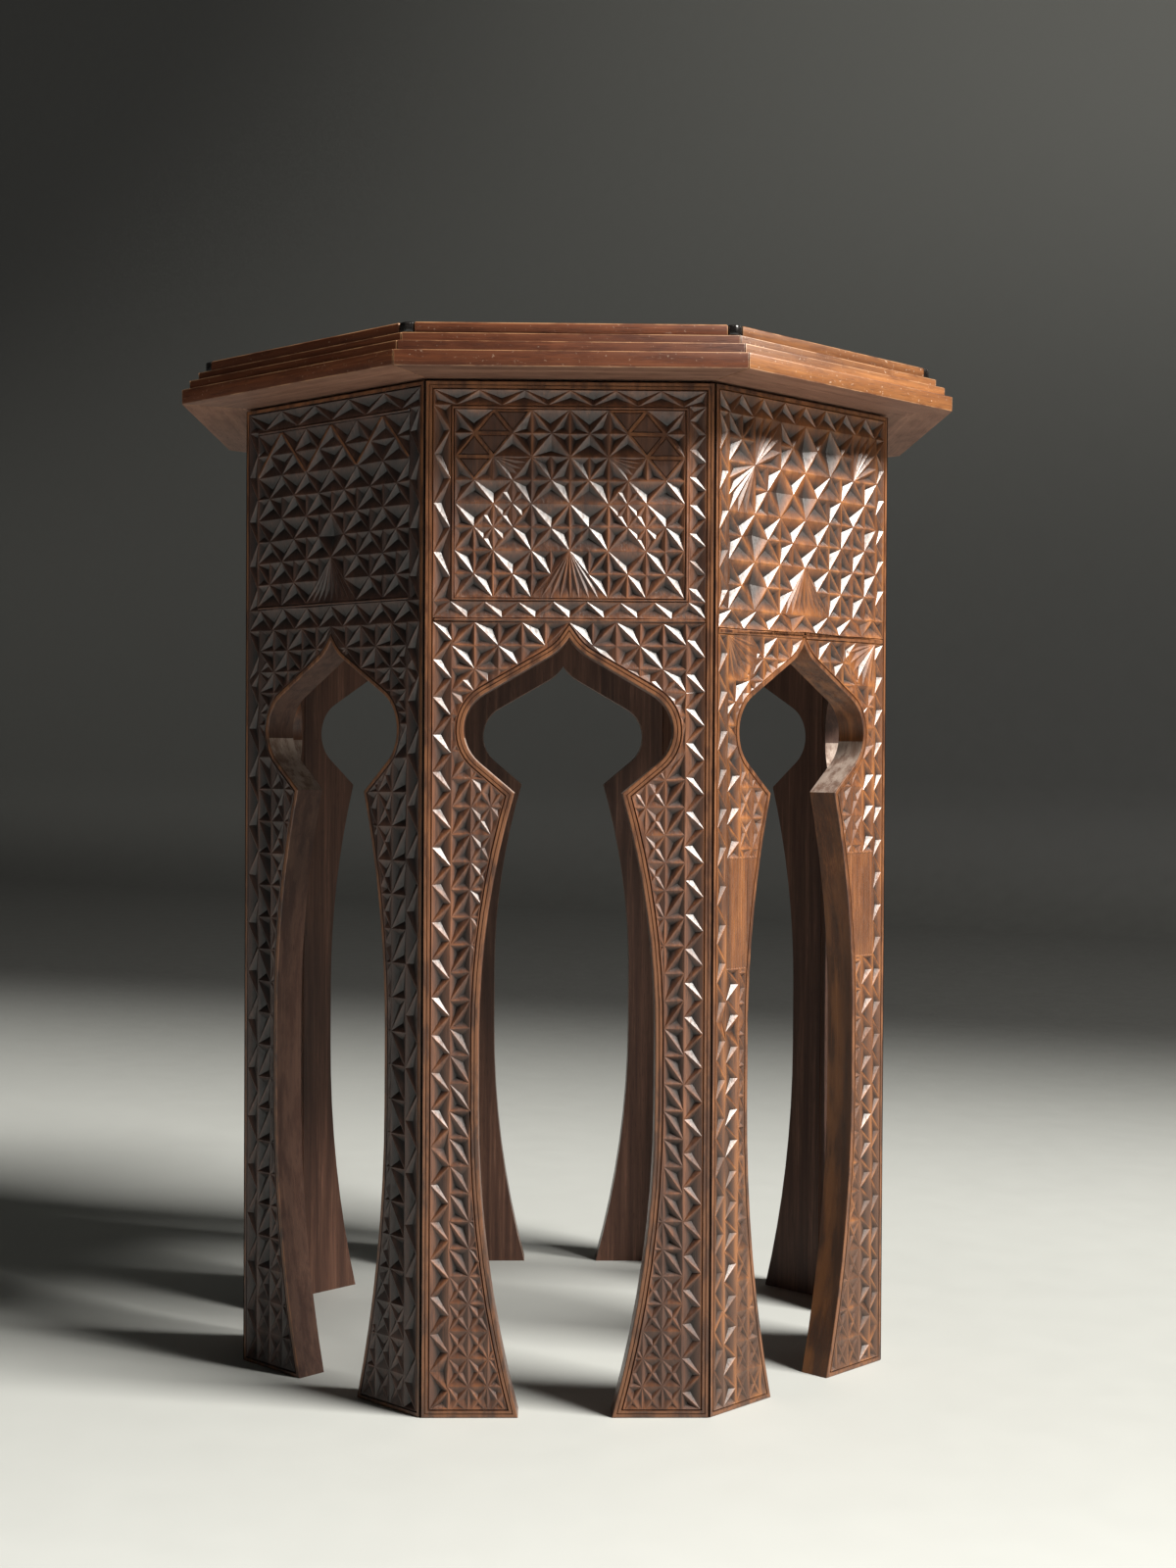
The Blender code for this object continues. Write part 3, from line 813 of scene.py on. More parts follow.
def set_slivers_aside(least):
    """Leaves cells that are too narrow for the knife flat, and the walls of the scored lines."""
    mesh, zones = board_mesh()
    for face in mesh.faces:
        if face[zones] in (GROUND, FAN):
            edges = sum(edge.calc_length() for edge in face.edges)
            if 2 * face.calc_area() / edges < least * MM or face.normal.y > GROOVE_WALL:
                face[zones] = FLAT
    refresh()


def sink_outlined():
    """Scores a line inside the cells that keep a flat middle, and lowers that middle a little."""
    if pick(OUTLINED, anywhere):
        for width, rise in OUTLINE_STEPS:
            bpy.ops.mesh.inset(thickness=width * MM, depth=rise * MM, use_individual=True)


def lift_chips(zone, land, slope, draw, spread=0.0):
    """Sinks a pit in every cell of a zone, with a ridge left between cells."""
    if not pick(zone, anywhere):
        return 0
    bpy.ops.mesh.inset(thickness=land * MM, use_individual=True, use_even_offset=False)
    bpy.ops.mesh.poke(offset=0.0)
    mesh, _ = board_mesh()
    pits = [vertex for vertex in mesh.verts
            if vertex.link_faces and all(face.select for face in vertex.link_faces)]
    for vertex in pits:
        corners = corners_of(vertex)
        if len(corners) < 3:
            continue
        point = deep_point(vertex.co, corners, spread)
        reach = nearest_side(point, corners)
        point.x += draw.gauss(0, POINT_STRAY) * reach
        point.z += draw.gauss(0, POINT_STRAY) * reach
        point.y += min(reach * slope, DEEPEST * MM) * draw.uniform(*DEPTH_RANGE)
        vertex.co = point
    refresh()
    return len(pits)


# %% [markdown]
# ## Three carvers' patterns
# The three boards that the photograph shows are not alike, so one plan for all would miss them. Each field is
# written down row by row, one letter for each triangle: o is a plain pit, v a pit split down the middle, q a
# pit cut in four, D half of a four-sided pit, f a triangle that is left flat inside a scored line, F a small
# fan and * part of the large fan. The boards behind repeat these plans, two of them with the left board's
# plan in the front board's brown.

# %% Plans of the boards
FRONT_PLAN = Plan(
    field=(
        "ooffvovovffoo", "offovovovoffo", "ofvFvvvvvFvfo", "oooqvovovqooo",
        "ooqqvovovqqoo", "ovqovovovoqvo", "ovvovv*vvovvo", "oovvv***vvvoo",
    ),
    border_foot=541.6, field_top=539.4, field_foot=439.4, lower_top=437.2, lower_foot=428.6, arch_top=426.2,
    field_half=61.4, column_edge=63.6, top_teeth=6, lower_teeth=8,
    upper_periods=(24.0, 14.5), lower_periods=(20.0, 18.5),
    arch_half=12.6, arch_row=12.4, quarters=((380.0, 402.0), (334.0, 347.0)),
    leg_edge=62.6, leg_width=10.6, leg_period=14.8, leg_leans=(1, 1), leg_plain=(0, 0), cross_foot=72.0,
    blocks=(), corner_fans=0.0, tents=(), strip=3.2, bead=1.4, rough_sawn=False, wood=carved_brown,
)
LEFT_PLAN = Plan(
    field=(
        "ooooooooooooo", "ooooooooooooo", "ooooooooooooo", "oovovovovovoo",
        "ooooovDvovooo", "oooovoDovovoo", "ovovov*vovovo", "oovoo***oovoo",
    ),
    border_foot=541.4, field_top=539.2, field_foot=440.4, lower_top=438.2, lower_foot=426.4, arch_top=426.4,
    field_half=66.2, column_edge=66.2, top_teeth=5, lower_teeth=7,
    upper_periods=(28.5, 27.5), lower_periods=(29.0, 28.0),
    arch_half=12.8, arch_row=12.0, quarters=((384.0, 414.0),),
    leg_edge=64.6, leg_width=11.8, leg_period=18.5, leg_leans=(-1, 1), leg_plain=(0, 0), cross_foot=40.0,
    blocks=(), corner_fans=0.0, tents=(2, 6, 10), strip=1.6, bead=0.0, rough_sawn=True, wood=carved_dark_and_shaded,
)
RIGHT_PLAN = Plan(
    field=(
        "ovooooDoDoooo", "ooooooDoDoooo", "ovovDoDoovovo", "ooovDoDovvovo",
        "ooDovooovvvvo", "ooDovvovvvvvo", "ooDovo*ovvvvo", "ooDov***vvvvo",
    ),
    border_foot=540.4, field_top=540.4, field_foot=434.6, lower_top=434.6, lower_foot=424.6, arch_top=421.0,
    field_half=66.4, column_edge=66.4, top_teeth=8, lower_teeth=7,
    upper_periods=(20.5, 18.6), lower_periods=(20.5, 18.6),
    arch_half=12.0, arch_row=12.2, quarters=(),
    leg_edge=66.2, leg_width=10.6, leg_period=16.8, leg_leans=(0, 0), leg_plain=(240.0, 300.0),
    cross_foot=62.0, blocks=((2, 4, 0, 2, 2, 2), (0, 2, 2, 4, 2, 2), (10, 12, 0, 2, 10, 2)),
    corner_fans=27.0, tents=(), strip=1.7, bead=0.0, rough_sawn=False, wood=carved_orange,
)
BACK_PLAN = Plan(**{**vars(LEFT_PLAN), "wood": carved_brown})
BOARD_PLANS = (
    FRONT_PLAN, RIGHT_PLAN, BACK_PLAN, FRONT_PLAN,
    RIGHT_PLAN, BACK_PLAN, FRONT_PLAN, LEFT_PLAN,
)
print("triangles written down for a field:", sum(len(line) for line in FRONT_PLAN.field))

# %% [markdown]
# ## The field
# The field is the panel over the arch. It is cut as one lattice, and then single cells are split, merged or
# fanned by their letters, because the real pattern is a plain grid that its carver varied from cell to cell.
# On the left board thick fillets stand in the upper two rows like tents.

# %% Carving the field
TENT_FILLET = 1.1
BLOCK_RAYS, SMALL_RAYS, LARGE_RAYS = 3, 4, 8
LARGE_FAN_ROWS = 2


def raise_tents(plan):
    """Leaves thick diagonal fillets, two rows high, standing in the field."""
    rows = lambda u, z: plan.in_field(u, z) and z > plan.spot(0, 2)[1]
    run_u, run_z = plan.half_column(), plan.row()
    length = math.hypot(run_u, run_z)
    score(GROUND, plan.in_field, plan.spot(0, 2), ACROSS)
    for column in plan.tents:
        peak = plan.spot(column, 0)
        for lean in (-1, 1):
            across = (run_z / length, lean * run_u / length)
            for edge in (-TENT_FILLET, TENT_FILLET):
                start = (peak[0] + edge * across[0], peak[1] + edge * across[1])
                score(GROUND, rows, start, (lean * run_u, -run_z))
            off = lambda u, z: (u - peak[0]) * across[0] + (z - peak[1]) * across[1]
            if pick(GROUND, lambda u, z: rows(u, z) and abs(off(u, z)) < TENT_FILLET):
                mark(TENT)
    if pick(TENT, rows):
        round_over()
        mark(FILLET)


def carve_field(plan):
    """Fills the field with its pattern."""
    left, top = plan.spot(0, 0)
    half, row = plan.half_column(), plan.row()
    raise_tents(plan)
    lattice(plan.in_field, left, top, half, row, FIELD_COLUMNS, FIELD_ROWS)
    for low_column, high_column, high_line, low_line, column, line in plan.blocks:
        low_u, high_z = plan.spot(low_column, high_line)
        high_u, low_z = plan.spot(high_column, low_line)
        block_fan(plan.in_field, low_u, high_u, low_z, high_z, plan.spot(column, line), BLOCK_RAYS)
    split_triangles(plan.in_field, plan.code, left, top, half, row, FIELD_COLUMNS, FIELD_ROWS)
    for line in range(FIELD_ROWS - 1):
        for column in range(FIELD_COLUMNS + 1):
            pair = plan.field[line][column] + plan.field[line + 1][column]
            if (line + column) % 2 == 0 and pair == "DD":
                cells = ((line, column), (line + 1, column))
                merge(GROUND, lambda u, z: plan.in_field(u, z) and plan.cell(u, z) in cells)
    for line in range(FIELD_ROWS):
        for column in range(FIELD_COLUMNS + 1):
            if plan.field[line][column] == "F":
                aims = between(plan.spot(column + 1, line), plan.spot(column, line + 1), SMALL_RAYS)
                fan(lambda u, z: plan.in_field(u, z) and plan.cell(u, z) == (line, column),
                    plan.spot(column - 1, line), aims)
    middle = FIELD_COLUMNS // 2
    ends = [plan.spot(middle + step, FIELD_ROWS) for step in (-LARGE_FAN_ROWS, LARGE_FAN_ROWS)]
    fan(lambda u, z: plan.in_field(u, z) and plan.code(u, z) == "*",
        plan.spot(middle, FIELD_ROWS - LARGE_FAN_ROWS), between(*ends, LARGE_RAYS))
    if pick(GROUND, lambda u, z: plan.in_field(u, z) and plan.code(u, z) == "f"):
        mark(OUTLINED)


# %% [markdown]
# ## Borders and spandrels
# Zigzags frame the field and run down the outer edge of every leg. The spandrels beside the tip of the arch
# have a lattice of split triangles, and on the right board a quarter shell in each upper corner. A shell
# could be modelled apart and set in, but it is cut from the ground like the rest: its end is three straight
# cuts, and its rays are those of a fan.

# %% Carving borders and spandrels
SHELL_SIDES = (15, 45, 75)
SHELL_RAYS = 7
SPANDREL_COLUMNS = 12


def carve_borders(plan):
    """Fills the level borders and the upright columns with zigzags."""
    half, top = plan.inside_half(), BOARD_TOP - plan.margin()
    zigzag_row(plan.in_top_border, -half, half, top, plan.border_foot, plan.top_teeth)
    zigzag_row(plan.in_lower_border, -half, half, plan.lower_foot, plan.lower_top, plan.lower_teeth)
    for side, upper, lower in zip((-1, 1), plan.upper_periods, plan.lower_periods):
        zigzag_column(lambda u, z: plan.in_upper_column(u, z) and side * u > 0,
                      side * half, side * plan.column_edge, plan.lower_top, plan.border_foot, upper)
        zigzag_column(lambda u, z: plan.in_lower_column(u, z) and side * u > 0,
                      side * half, side * plan.leg_edge, plan.margin(), plan.arch_top, lower)


def shell(region, point, side, radius):
    """A quarter shell that opens from an upper outer corner, with a scalloped end."""
    headings = [math.radians(angle) for angle in SHELL_SIDES]
    runs = [(-side * math.cos(heading), -math.sin(heading)) for heading in headings]
    reach = radius * math.cos(math.radians(SHELL_SIDES[0]))
    outward = lambda run, u, z: (u - point[0]) * run[0] + (z - point[1]) * run[1]
    near = lambda u, z: region(u, z) and abs(u - point[0]) < radius and point[1] - z < radius
    for run in runs:
        score(GROUND, near, (point[0] + reach * run[0], point[1] + reach * run[1]), (-run[1], run[0]))
    inside = lambda u, z: near(u, z) and all(outward(run, u, z) < reach for run in runs)
    aims = []
    for step in range(1, SHELL_RAYS):
        heading = step * math.pi / (2 * SHELL_RAYS)
        aims.append((point[0] - side * math.cos(heading), point[1] - math.sin(heading)))
    fan(inside, point, aims)


def carve_spandrels(plan):
    """Fills the spandrels with split triangles and, on some boards, shells."""
    half, row = plan.arch_half, plan.arch_row
    spandrel = lambda u, z: plan.in_arch(u, z) and z > SPANDREL_FOOT
    score(GROUND, plan.in_arch, (0, SPANDREL_FOOT), ACROSS)
    left, top = -SPANDREL_COLUMNS // 2 * half, plan.arch_top
    rows = math.ceil((top - SPANDREL_FOOT) / row)
    lattice(spandrel, left, top, half, row, SPANDREL_COLUMNS, rows)
    if plan.corner_fans:
        for side in (-1, 1):
            shell(lambda u, z: spandrel(u, z) and side * u > 0, (side * plan.leg_edge, top), side,
                  plan.corner_fans)
    quartered = lambda u, z: abs(u) > plan.leg_edge - half and any(a < z < b for a, b in plan.quarters)
    split_triangles(spandrel, lambda u, z: "q" if quartered(u, z) else "v", left, top, half, row,
                    SPANDREL_COLUMNS, rows)


# %% [markdown]
# ## The legs
# Beside the zigzag of its outer edge, each leg has an inner column of oblongs halved by a diagonal, or of a
# second zigzag, and where the leg flares out small crossed cells fill what is left. The right board's legs
# have a plain stretch with shallow flutes. The legs are cut by rule and not by letters, because their cells
# follow the curve of the arch.

# %% Carving the legs
LEAN_CHANGES = 195.0
FLUTES, FLUTE_WIDTH, FLUTE_DEPTH, FLUTE_SLOPE = 12, 2.1, 0.42, 0.35
FLARE_COLUMNS = 2


def flute_leg(plan, side, plain):
    """Cuts shallow upright flutes in the plain stretch of a leg."""
    if not pick(GROUND, plain):
        return
    for flute in range(1, FLUTES):
        score(GROUND, plain, (side * (plan.leg_edge - flute * FLUTE_WIDTH), 0), UPWARD)
    pick(GROUND, plain)
    bpy.ops.mesh.inset(thickness=FLUTE_SLOPE * FLUTE_WIDTH * MM, depth=-FLUTE_DEPTH * MM, use_individual=True)
    pick(GROUND, plain)
    mark(FLAT)


def cross_flare(plan, side, edge, foot, top):
    """Cuts crossed cells into one row of the flare beside the inner column."""
    for column in range(FLARE_COLUMNS):
        outer = edge - column * plan.leg_width
        inner = outer - plan.leg_width
        beside = lambda u, z: plan.in_leg(side, u, z) and abs(u) < outer and foot < z < top
        score(GROUND, beside, (side * inner, 0), UPWARD)
        crossed = lambda u, z: beside(u, z) and abs(u) > inner
        score(GROUND, crossed, (outer * side, foot), (-side * plan.leg_width, plan.leg_period))
        score(GROUND, crossed, (outer * side, top), (-side * plan.leg_width, -plan.leg_period))


def halve_oblong(plan, here, ends, foot, top, lean):
    """Parts an oblong of the inner column by a diagonal, and near the foot by both diagonals."""
    rises = lean > 0 if foot > LEAN_CHANGES else lean < 0
    run, rise = ends[1] - ends[0], plan.leg_period if rises else -plan.leg_period
    low, high = (foot, top) if rises else (top, foot)
    score(GROUND, here, (ends[0], low), (run, rise))
    if foot < plan.cross_foot:
        score(GROUND, here, (ends[0], high), (run, -rise))


def carve_leg(plan, side):
    """Fills the inner column of a leg and the flare beside it."""
    leg = lambda u, z: plan.in_leg(side, u, z)
    edge = plan.leg_edge - plan.leg_width
    ends = sorted((edge * side, plan.leg_edge * side))
    score(GROUND, leg, (side * edge, 0), UPWARD)
    low, high = plan.leg_plain
    for level in {low, high} - {0}:
        score(GROUND, leg, (0, level), ACROSS)
    flute_leg(plan, side, lambda u, z: leg(u, z) and low < z < high)
    lean = plan.leg_leans[0 if side < 0 else 1]
    for cell in range(math.ceil((SPANDREL_FOOT - plan.margin()) / plan.leg_period)):
        top = SPANDREL_FOOT - cell * plan.leg_period
        foot = top - plan.leg_period
        score(GROUND, lambda u, z: leg(u, z) and (lean or abs(u) < edge), (0, foot), ACROSS)
        cross_flare(plan, side, edge, foot, top)
        here = lambda u, z: leg(u, z) and abs(u) > edge and foot < z < top
        if lean:
            halve_oblong(plan, here, ends, foot, top, lean)
    if not lean:
        for foot, top in ((plan.margin(), low), (high, SPANDREL_FOOT)):
            zigzag_column(lambda u, z: leg(u, z) and abs(u) > edge and foot < z < top,
                          *ends, foot, top, plan.leg_period)


# %% [markdown]
# ## Eight carved boards
# Each board is a copy of its CAD board, turned to the front, carved by its plan and turned back. The copies
# could share one mesh, but then their grain and their knife work would be the same all round. After the
# carving, faces get the finish of what they are: worn ridges and strips, sawn or dusty arches, plain backs,
# and seams painted nearly black for dirt and for the shade in the joints.

# %% Eight carved boards
BEHIND_CARVING = 1.7
AT_FACE = 0.1
ARCH_MARGIN, FLOOR_MARGIN = 4, 2
SQUARE_TO_FACE, FACING_UP, FACING_BACK, FACING_SIDE = 0.3, 0.25, 0.9, 0.15
CARVED_SMOOTH = math.radians(18)
BOARD_SEED = 40


def store_cut_depth(piece):
    """Writes how deep below the board's face each point lies, from 0 to 1 at three millimetres."""
    depths = []
    for vertex in piece.data.vertices:
        depth = (vertex.co.y - FACE_Y) / (DEEPEST * MM)
        depths.append(min(depth, 1.0) if depth < BEHIND_CARVING else 0.0)
    attribute = piece.data.attributes.new("cut", "FLOAT", "POINT")
    attribute.data.foreach_set("value", depths)


def finish_faces(piece, plan):
    """Gives the strips and fillets, the arch, the back and the seams of a board their own finishes."""
    for face, zone in zip(piece.data.polygons, piece.data.attributes["zone"].data):
        plain = zone.value == PLAIN
        face.use_smooth = plain
        u, z = face.center.x / MM, face.center.z / MM
        at_face = face.center.y < FACE_Y + AT_FACE * MM
        if zone.value == FILLET or (at_face and zone.value in (PLAIN, OUTLINED)):
            face.material_index = WORN
        in_opening = abs(u) < plan.leg_edge - ARCH_MARGIN and FLOOR_MARGIN < z < plan.arch_top
        in_arch = plain and in_opening and abs(face.normal.y) < SQUARE_TO_FACE
        if in_arch and plan.rough_sawn:
            face.material_index = SAWN
        if in_arch and face.normal.z > FACING_UP:
            face.material_index = DUSTY
        if face.normal.y > FACING_BACK:
            face.material_index = INSIDE
        # The mitred sides get the nearly black seam finish: dirt and painted shade.
        if abs(u) > BOARD_HALF - EASED_EDGE and abs(face.normal.x) > FACING_SIDE:
            face.material_index = SEAM


def carved_board(number, plan, seed):
    """Carves one board and sets it in its place."""
    draw = random.Random(seed)
    turn = turn_of(number)
    node = f"side_board_{number}"
    piece = bench_copy(node, f"carved_board_{number}", turn)
    plane_face(piece)
    for finish in (plan.wood, carved_edge, sawn_edge, dusty_edge, board_inside, seam_dirt_and_shade):
        piece.data.materials.append(finish)
    bpy.ops.object.mode_set(mode="EDIT")
    lay_out(plan)
    leave_fillets(plan)
    carve_field(plan)
    carve_borders(plan)
    carve_spandrels(plan)
    for side in (-1, 1):
        carve_leg(plan, side)
    unsettle(draw, KNIFE_STRAY)
    set_slivers_aside(NARROWEST)
    sink_outlined()
    chips = lift_chips(GROUND, CHIP_LAND, CHIP_SLOPE, draw)
    chips += lift_chips(FAN, RAY_LAND, RAY_SLOPE, draw, RAY_SPREAD)
    bpy.ops.object.mode_set(mode="OBJECT")
    bpy.ops.object.shade_smooth_by_angle(angle=CARVED_SMOOTH)
    finish_faces(piece, plan)
    store_grain(piece, "z", draw)
    store_cut_depth(piece)
    hand_over(piece, node, turn)
    return chips


for number, plan in enumerate(BOARD_PLANS, 1):
    print("board", number, "chips lifted:", carved_board(number, plan, BOARD_SEED + number))

# %% [markdown]
# ## The stepped top
# Eight mitred border segments carry the moulded edge, and eight thin rim strips lie on them, with a dark
# block at each corner. Hands and cloths have rounded every arris. The steps could be modelled anew as a swept
# moulding, but the CAD pieces have them, so copies of those get bevelled edges, and the bevels get a paler,
# rubbed finish.

# %% The stepped top
EASE_STEPS, EASE_ANGLE = 2, math.radians(40)
DRESSED_SMOOTH = math.radians(28)
FACING_DOWN = -0.9
EDGE_SLOT, UNDER_SLOT = 1, 2
BORDER_EASING, RIM_EASING, KEY_EASING = 0.0006, 0.0004, 0.0003
BORDER_SEED, RIM_SEED, KEY_SEED, PANEL_SEED = 100, 200, 300, 400
ORANGE_SEGMENTS = (2, 4, 7)


def dressed(node, name, turn, along, seed, easing, finishes):
    """A copy of a CAD node with eased edges: finishes for its faces, its edges and its underside."""
    draw = random.Random(seed)
    piece = bench_copy(node, name, turn)
    ease = piece.modifiers.new("ease", "BEVEL")
    ease.width = easing
    ease.segments = EASE_STEPS
    ease.limit_method = "ANGLE"
    ease.angle_limit = EASE_ANGLE
    ease.material = min(EDGE_SLOT, len(finishes) - 1)
    for finish in finishes:
        piece.data.materials.append(finish)
    bpy.ops.object.modifier_apply(modifier=ease.name)
    for face in piece.data.polygons:
        if len(finishes) > UNDER_SLOT and face.normal.z < FACING_DOWN:
            face.material_index = UNDER_SLOT
    bpy.ops.object.shade_smooth_by_angle(angle=DRESSED_SMOOTH)
    store_grain(piece, along, draw)
    hand_over(piece, node, turn)


for number in range(1, SIDES + 1):
    turn = turn_of(number)
    segment_wood = top_orange if number in ORANGE_SEGMENTS else top_wood
    dressed(f"top_border_{number}", f"border_segment_{number}", turn, "x",
            BORDER_SEED + number, BORDER_EASING, (segment_wood, top_edge, top_under))
    dressed(f"rim_strip_{number}", f"rim_moulding_{number}", turn, "x",
            RIM_SEED + number, RIM_EASING, (segment_wood, top_edge))
    dressed(f"corner_key_{number}", f"corner_block_{number}", turn, "z",
            KEY_SEED + number, KEY_EASING, (key_wood,))
dressed("top_centre_panel", "centre_board", 0.0, "x",
        PANEL_SEED, BORDER_EASING, (top_wood, top_edge))
print("pieces of the top dressed:", 3 * SIDES + 1)

# %% [markdown]
# ## The carcase inside
# Glue blocks, cleats and screws are plain joiner's work that shows only from below. They could be left as
# the CAD gives them, but the blocks and cleats get eased edges and pale wood, since they cost little. The
# screws are round already and only get their steel.

# %% The carcase inside
BLOCK_EASING, CLEAT_EASING = 0.0006, 0.0004
BLOCK_SEED, CLEAT_SEED = 500, 600
for number in range(1, SIDES + 1):
    dressed(f"glue_block_{number}", f"corner_glue_block_{number}", turn_of(number), "z",
            BLOCK_SEED + number, BLOCK_EASING, (inside_wood,))
for number in range(1, SIDES + 1, 2):
    dressed(f"cleat_{number}", f"top_cleat_{number}", turn_of(number), "x",
            CLEAT_SEED + number, CLEAT_EASING, (inside_wood,))
screws = [node for name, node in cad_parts.items() if "screw" in name]
for screw in screws:
    screw.data.materials.clear()
    screw.data.materials.append(screw_steel)
print("steel screws:", len(screws))

# %% [markdown]
# ## Floor and backdrop
# A pale floor runs back to a grey backdrop. Two planes would show a hard line where they meet, so one plane
# is drawn up at the back and its fold is rounded. Its colour holds painted light: a painted pool of light in
# front, painted shade where the light falls off towards the back, and painted light and shade across the
# wall.

# %% Floor and backdrop
FLOOR_FRONT, FLOOR_BACK, FLOOR_HALF, WALL_HEIGHT = -5.0, 3.27, 8.0, 5.0
FOLD_RADIUS, FOLD_STEPS = 0.3, 12
WALL_TURN = math.radians(-34.6)
NEARLY = 0.01
CLOUD, SCUFF = (1.4, 1.4, 1.4), (30, 30, 30)
FLOOR_DULL, FLOOR_CLEAR = colour(0.395, 0.41, 0.395), colour(0.45, 0.466, 0.45)
# Painted light in front and painted shade far back on the floor.
FLOOR_PAINTED_LIGHT, FLOOR_PAINTED_SHADE = colour(0.64, 0.668, 0.658), colour(0.030, 0.031, 0.029)
# Painted light and shade across the backdrop.
WALL_LOW_DARK, WALL_LOW_PALE = colour(0.031, 0.032, 0.031), colour(0.052, 0.054, 0.051)
WALL_HIGH_DARK, WALL_HIGH_PALE = colour(0.026, 0.027, 0.026), colour(0.100, 0.103, 0.098)


def floor_finish():
    """Matt floor paint with painted light: palest in front, painted shade towards the back, light and shade
    on the wall.
    """
    finish = Finish("studio_floor_finish")
    place = finish.node("ShaderNodeTexCoord", {}, {}, "Object")
    cloud = finish.noise(place, CLOUD, 4.0)
    scuff = finish.noise(place, SCUFF, 4.0)
    parts = [finish.node("ShaderNodeSeparateXYZ", {}, {"Vector": place}, axis) for axis in "XYZ"]
    across, depth, height = parts
    near_tone = finish.mix(cloud, FLOOR_DULL, FLOOR_CLEAR)
    # A painted pool of light near the front, and painted shade where the light falls off towards the back.
    near_tone = finish.mix(finish.ramp(depth, -0.1, -1.0), near_tone, FLOOR_PAINTED_LIGHT)
    far = finish.ramp(0.42 * across + 0.957 * depth, 0.30, 1.80)
    floor_tone = finish.mix(far, near_tone, FLOOR_PAINTED_SHADE)
    # Painted light and shade across the wall.
    glow = finish.ramp((across + 0.1) * (height - 1.1), -1.3, 1.3)
    low_tone = finish.mix(glow, WALL_LOW_DARK, WALL_LOW_PALE)
    high_tone = finish.mix(glow, WALL_HIGH_DARK, WALL_HIGH_PALE)
    wall_tone = finish.mix(finish.ramp(height, 0.2, 1.8), low_tone, high_tone)
    finish.feed(finish.shader, {
        "Base Color": finish.mix(finish.ramp(height, 0.0, 0.25), floor_tone, wall_tone),
        "Roughness": 0.55 + 0.2 * scuff,
    })
    return finish.material


bpy.ops.object.select_all(action="DESELECT")
bpy.ops.mesh.primitive_plane_add(size=2.0, location=(0, 0, 0))
floor = bpy.context.object
floor.name = "studio_floor"
floor.data.transform(Matrix.Diagonal((FLOOR_HALF, (FLOOR_BACK - FLOOR_FRONT) / 2, 1, 1)))
floor.data.transform(Matrix.Translation((0, (FLOOR_BACK + FLOOR_FRONT) / 2, 0)))
bpy.ops.object.mode_set(mode="EDIT")
bpy.ops.mesh.select_mode(type="EDGE")
floor_mesh = bmesh.from_edit_mesh(floor.data)
for edge in floor_mesh.edges:
    edge.select_set(all(vertex.co.y > FLOOR_BACK - NEARLY for vertex in edge.verts))
bmesh.update_edit_mesh(floor.data)
bpy.ops.mesh.extrude_region_move(TRANSFORM_OT_translate={"value": (0, 0, WALL_HEIGHT)})
floor_mesh = bmesh.from_edit_mesh(floor.data)
for edge in floor_mesh.edges:
    at_back = all(vertex.co.y > FLOOR_BACK - NEARLY for vertex in edge.verts)
    edge.select_set(at_back and all(vertex.co.z < NEARLY for vertex in edge.verts))
bmesh.update_edit_mesh(floor.data)
bpy.ops.mesh.bevel(offset=FOLD_RADIUS, segments=FOLD_STEPS)
bpy.ops.object.mode_set(mode="OBJECT")
bpy.ops.object.shade_smooth()
floor.data.transform(Matrix.Rotation(WALL_TURN, 4, "Z"))
floor.data.materials.append(floor_finish())

print("floor and backdrop faces:", len(floor.data.polygons))

# %% [markdown]
# ## Lights
# One large soft light from the right front, high up, rakes across the carving, so that one facet of each chip
# shines and its neighbours stay dark. A sun would give harder shadows than the photograph has, so it is an
# area light. A weak fill and a trace of air light open the darkest shadows.

# %% Lights
KEY_DIRECTION = Vector((0.69, -0.39, 0.72)).normalized()
KEY_DISTANCE = 4.0
KEY_AIM = Vector((0, 0, 0.36))
KEY_SIZE, KEY_POWER, KEY_TINT = (1.50, 0.95), 500, (1.0, 0.96, 0.90)
FILL_PLACE, FILL_AIM = (-1.6, -1.8, 1.3), (0, 0, 0.3)
FILL_SIZE, FILL_POWER, FILL_TINT = (1.6, 1.6), 0.15, (0.92, 0.96, 1.0)
AIR_TINT, AIR_STRENGTH = colour(0.9, 0.95, 1.0), 0.002


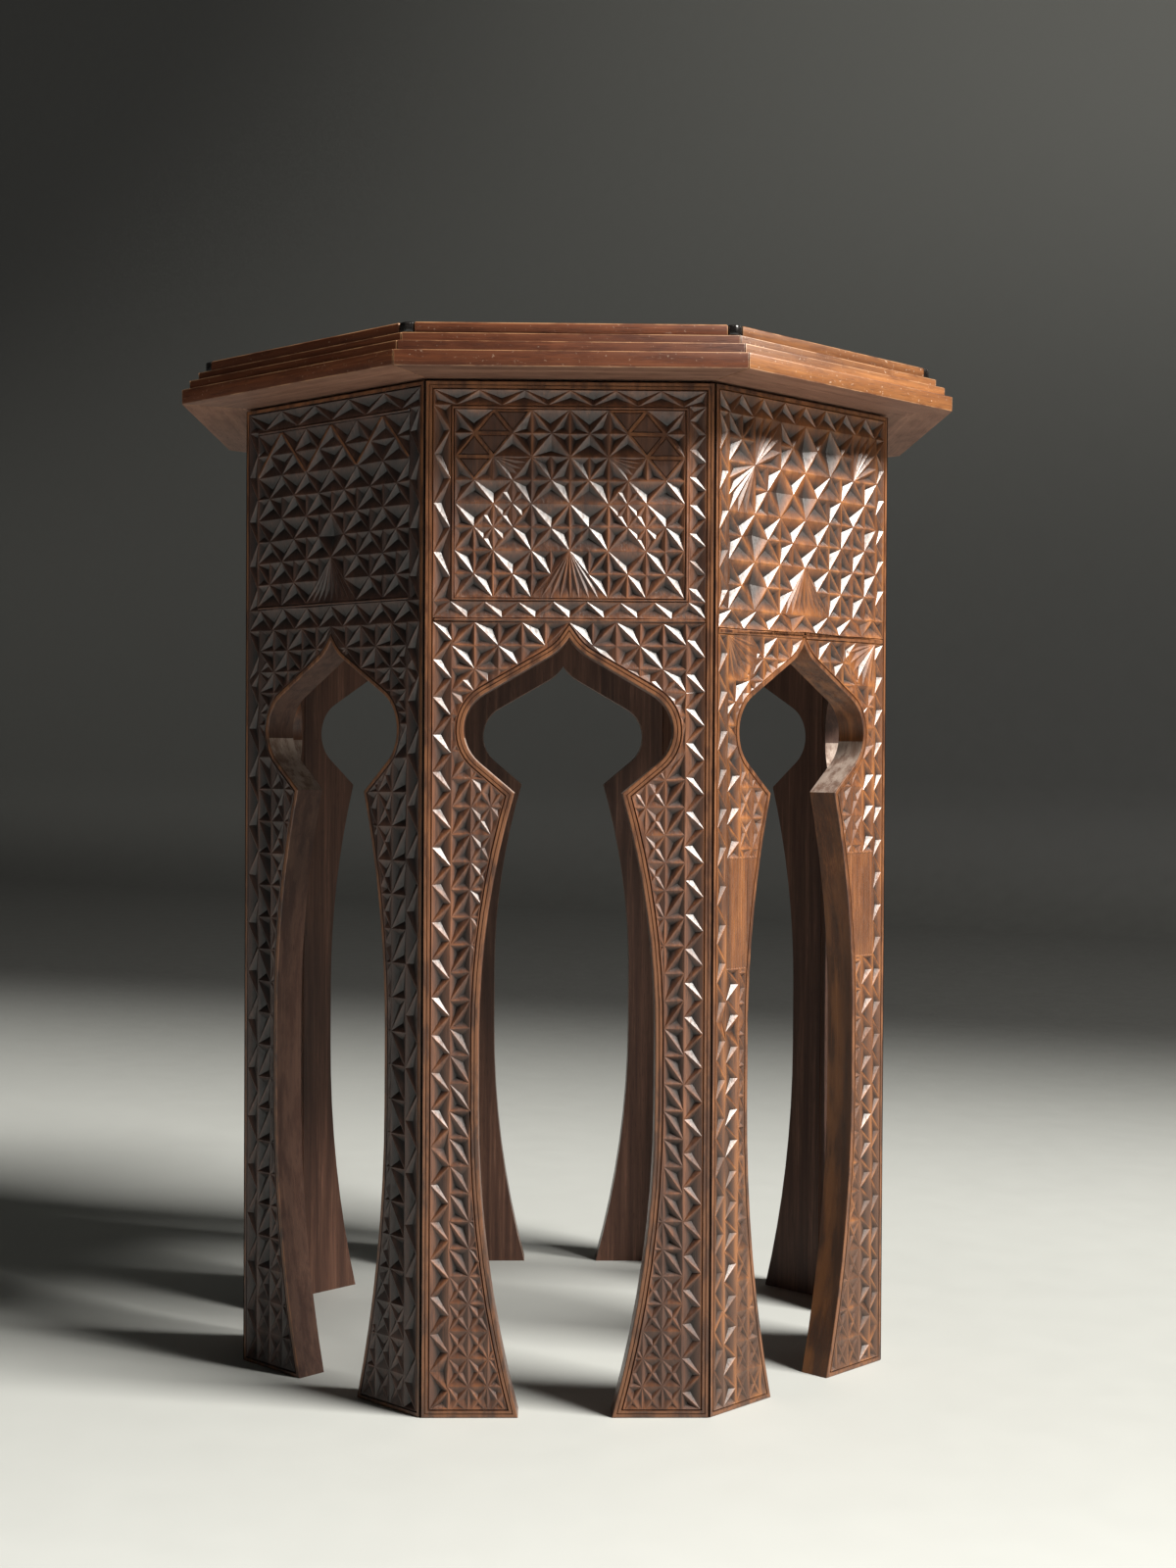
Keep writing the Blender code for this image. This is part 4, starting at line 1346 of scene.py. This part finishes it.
def softbox(name, place, aim, size, power, tint):
    """A soft rectangular light that faces a point."""
    lamp = bpy.data.lights.new(name, "AREA")
    lamp.shape = "RECTANGLE"
    lamp.size, lamp.size_y = size
    lamp.energy = power
    lamp.color = tint
    made = bpy.data.objects.new(name, lamp)
    bpy.context.scene.collection.objects.link(made)
    made.location = place
    made.rotation_euler = (Vector(aim) - Vector(place)).to_track_quat("-Z", "Y").to_euler()


softbox("key_light", KEY_AIM + KEY_DIRECTION * KEY_DISTANCE, KEY_AIM, KEY_SIZE, KEY_POWER, KEY_TINT)
softbox("fill_light", FILL_PLACE, FILL_AIM, FILL_SIZE, FILL_POWER, FILL_TINT)
world = bpy.data.worlds.new("studio_air")
world.use_nodes = True
air = world.node_tree.nodes["Background"]
air.inputs["Color"].default_value = AIR_TINT
air.inputs["Strength"].default_value = AIR_STRENGTH
bpy.context.scene.world = world
print("lights:", len(bpy.data.lights))

# %% [markdown]
# ## Camera
# The camera stands where the photograph was taken: low, a little below the top, so that its underside shows.
# Its place and turn were fitted to the corners of the table. It could be aimed at a point with a constraint,
# but three turns written down keep its slight tilt as well.

# %% Camera
bpy.context.scene.view_settings.view_transform = "Standard"
CAMERA_PLACE = Vector((-0.0129, -1.3273, 0.3549))
CAMERA_YAW, CAMERA_PITCH, CAMERA_ROLL = math.radians(-1.176), math.radians(-0.742), math.radians(-0.326)
SENSOR_WIDTH, LENS, NEAREST = 36.0, 48.99, 0.05
camera_data = bpy.data.cameras.new("photo_camera")
camera_data.sensor_width = SENSOR_WIDTH
camera_data.lens = LENS
camera_data.clip_start = NEAREST
camera = bpy.data.objects.new("photo_camera", camera_data)
bpy.context.scene.collection.objects.link(camera)
aim = (Matrix.Rotation(CAMERA_YAW, 3, "Z") @ Matrix.Rotation(CAMERA_PITCH, 3, "X")
       @ Matrix.Rotation(CAMERA_ROLL, 3, "Y"))
right, forward, up = aim.col
camera.matrix_world = Matrix((
    (right.x, up.x, -forward.x, CAMERA_PLACE.x),
    (right.y, up.y, -forward.y, CAMERA_PLACE.y),
    (right.z, up.z, -forward.z, CAMERA_PLACE.z),
    (0, 0, 0, 1),
))
bpy.context.scene.camera = camera
print("camera at:", CAMERA_PLACE)
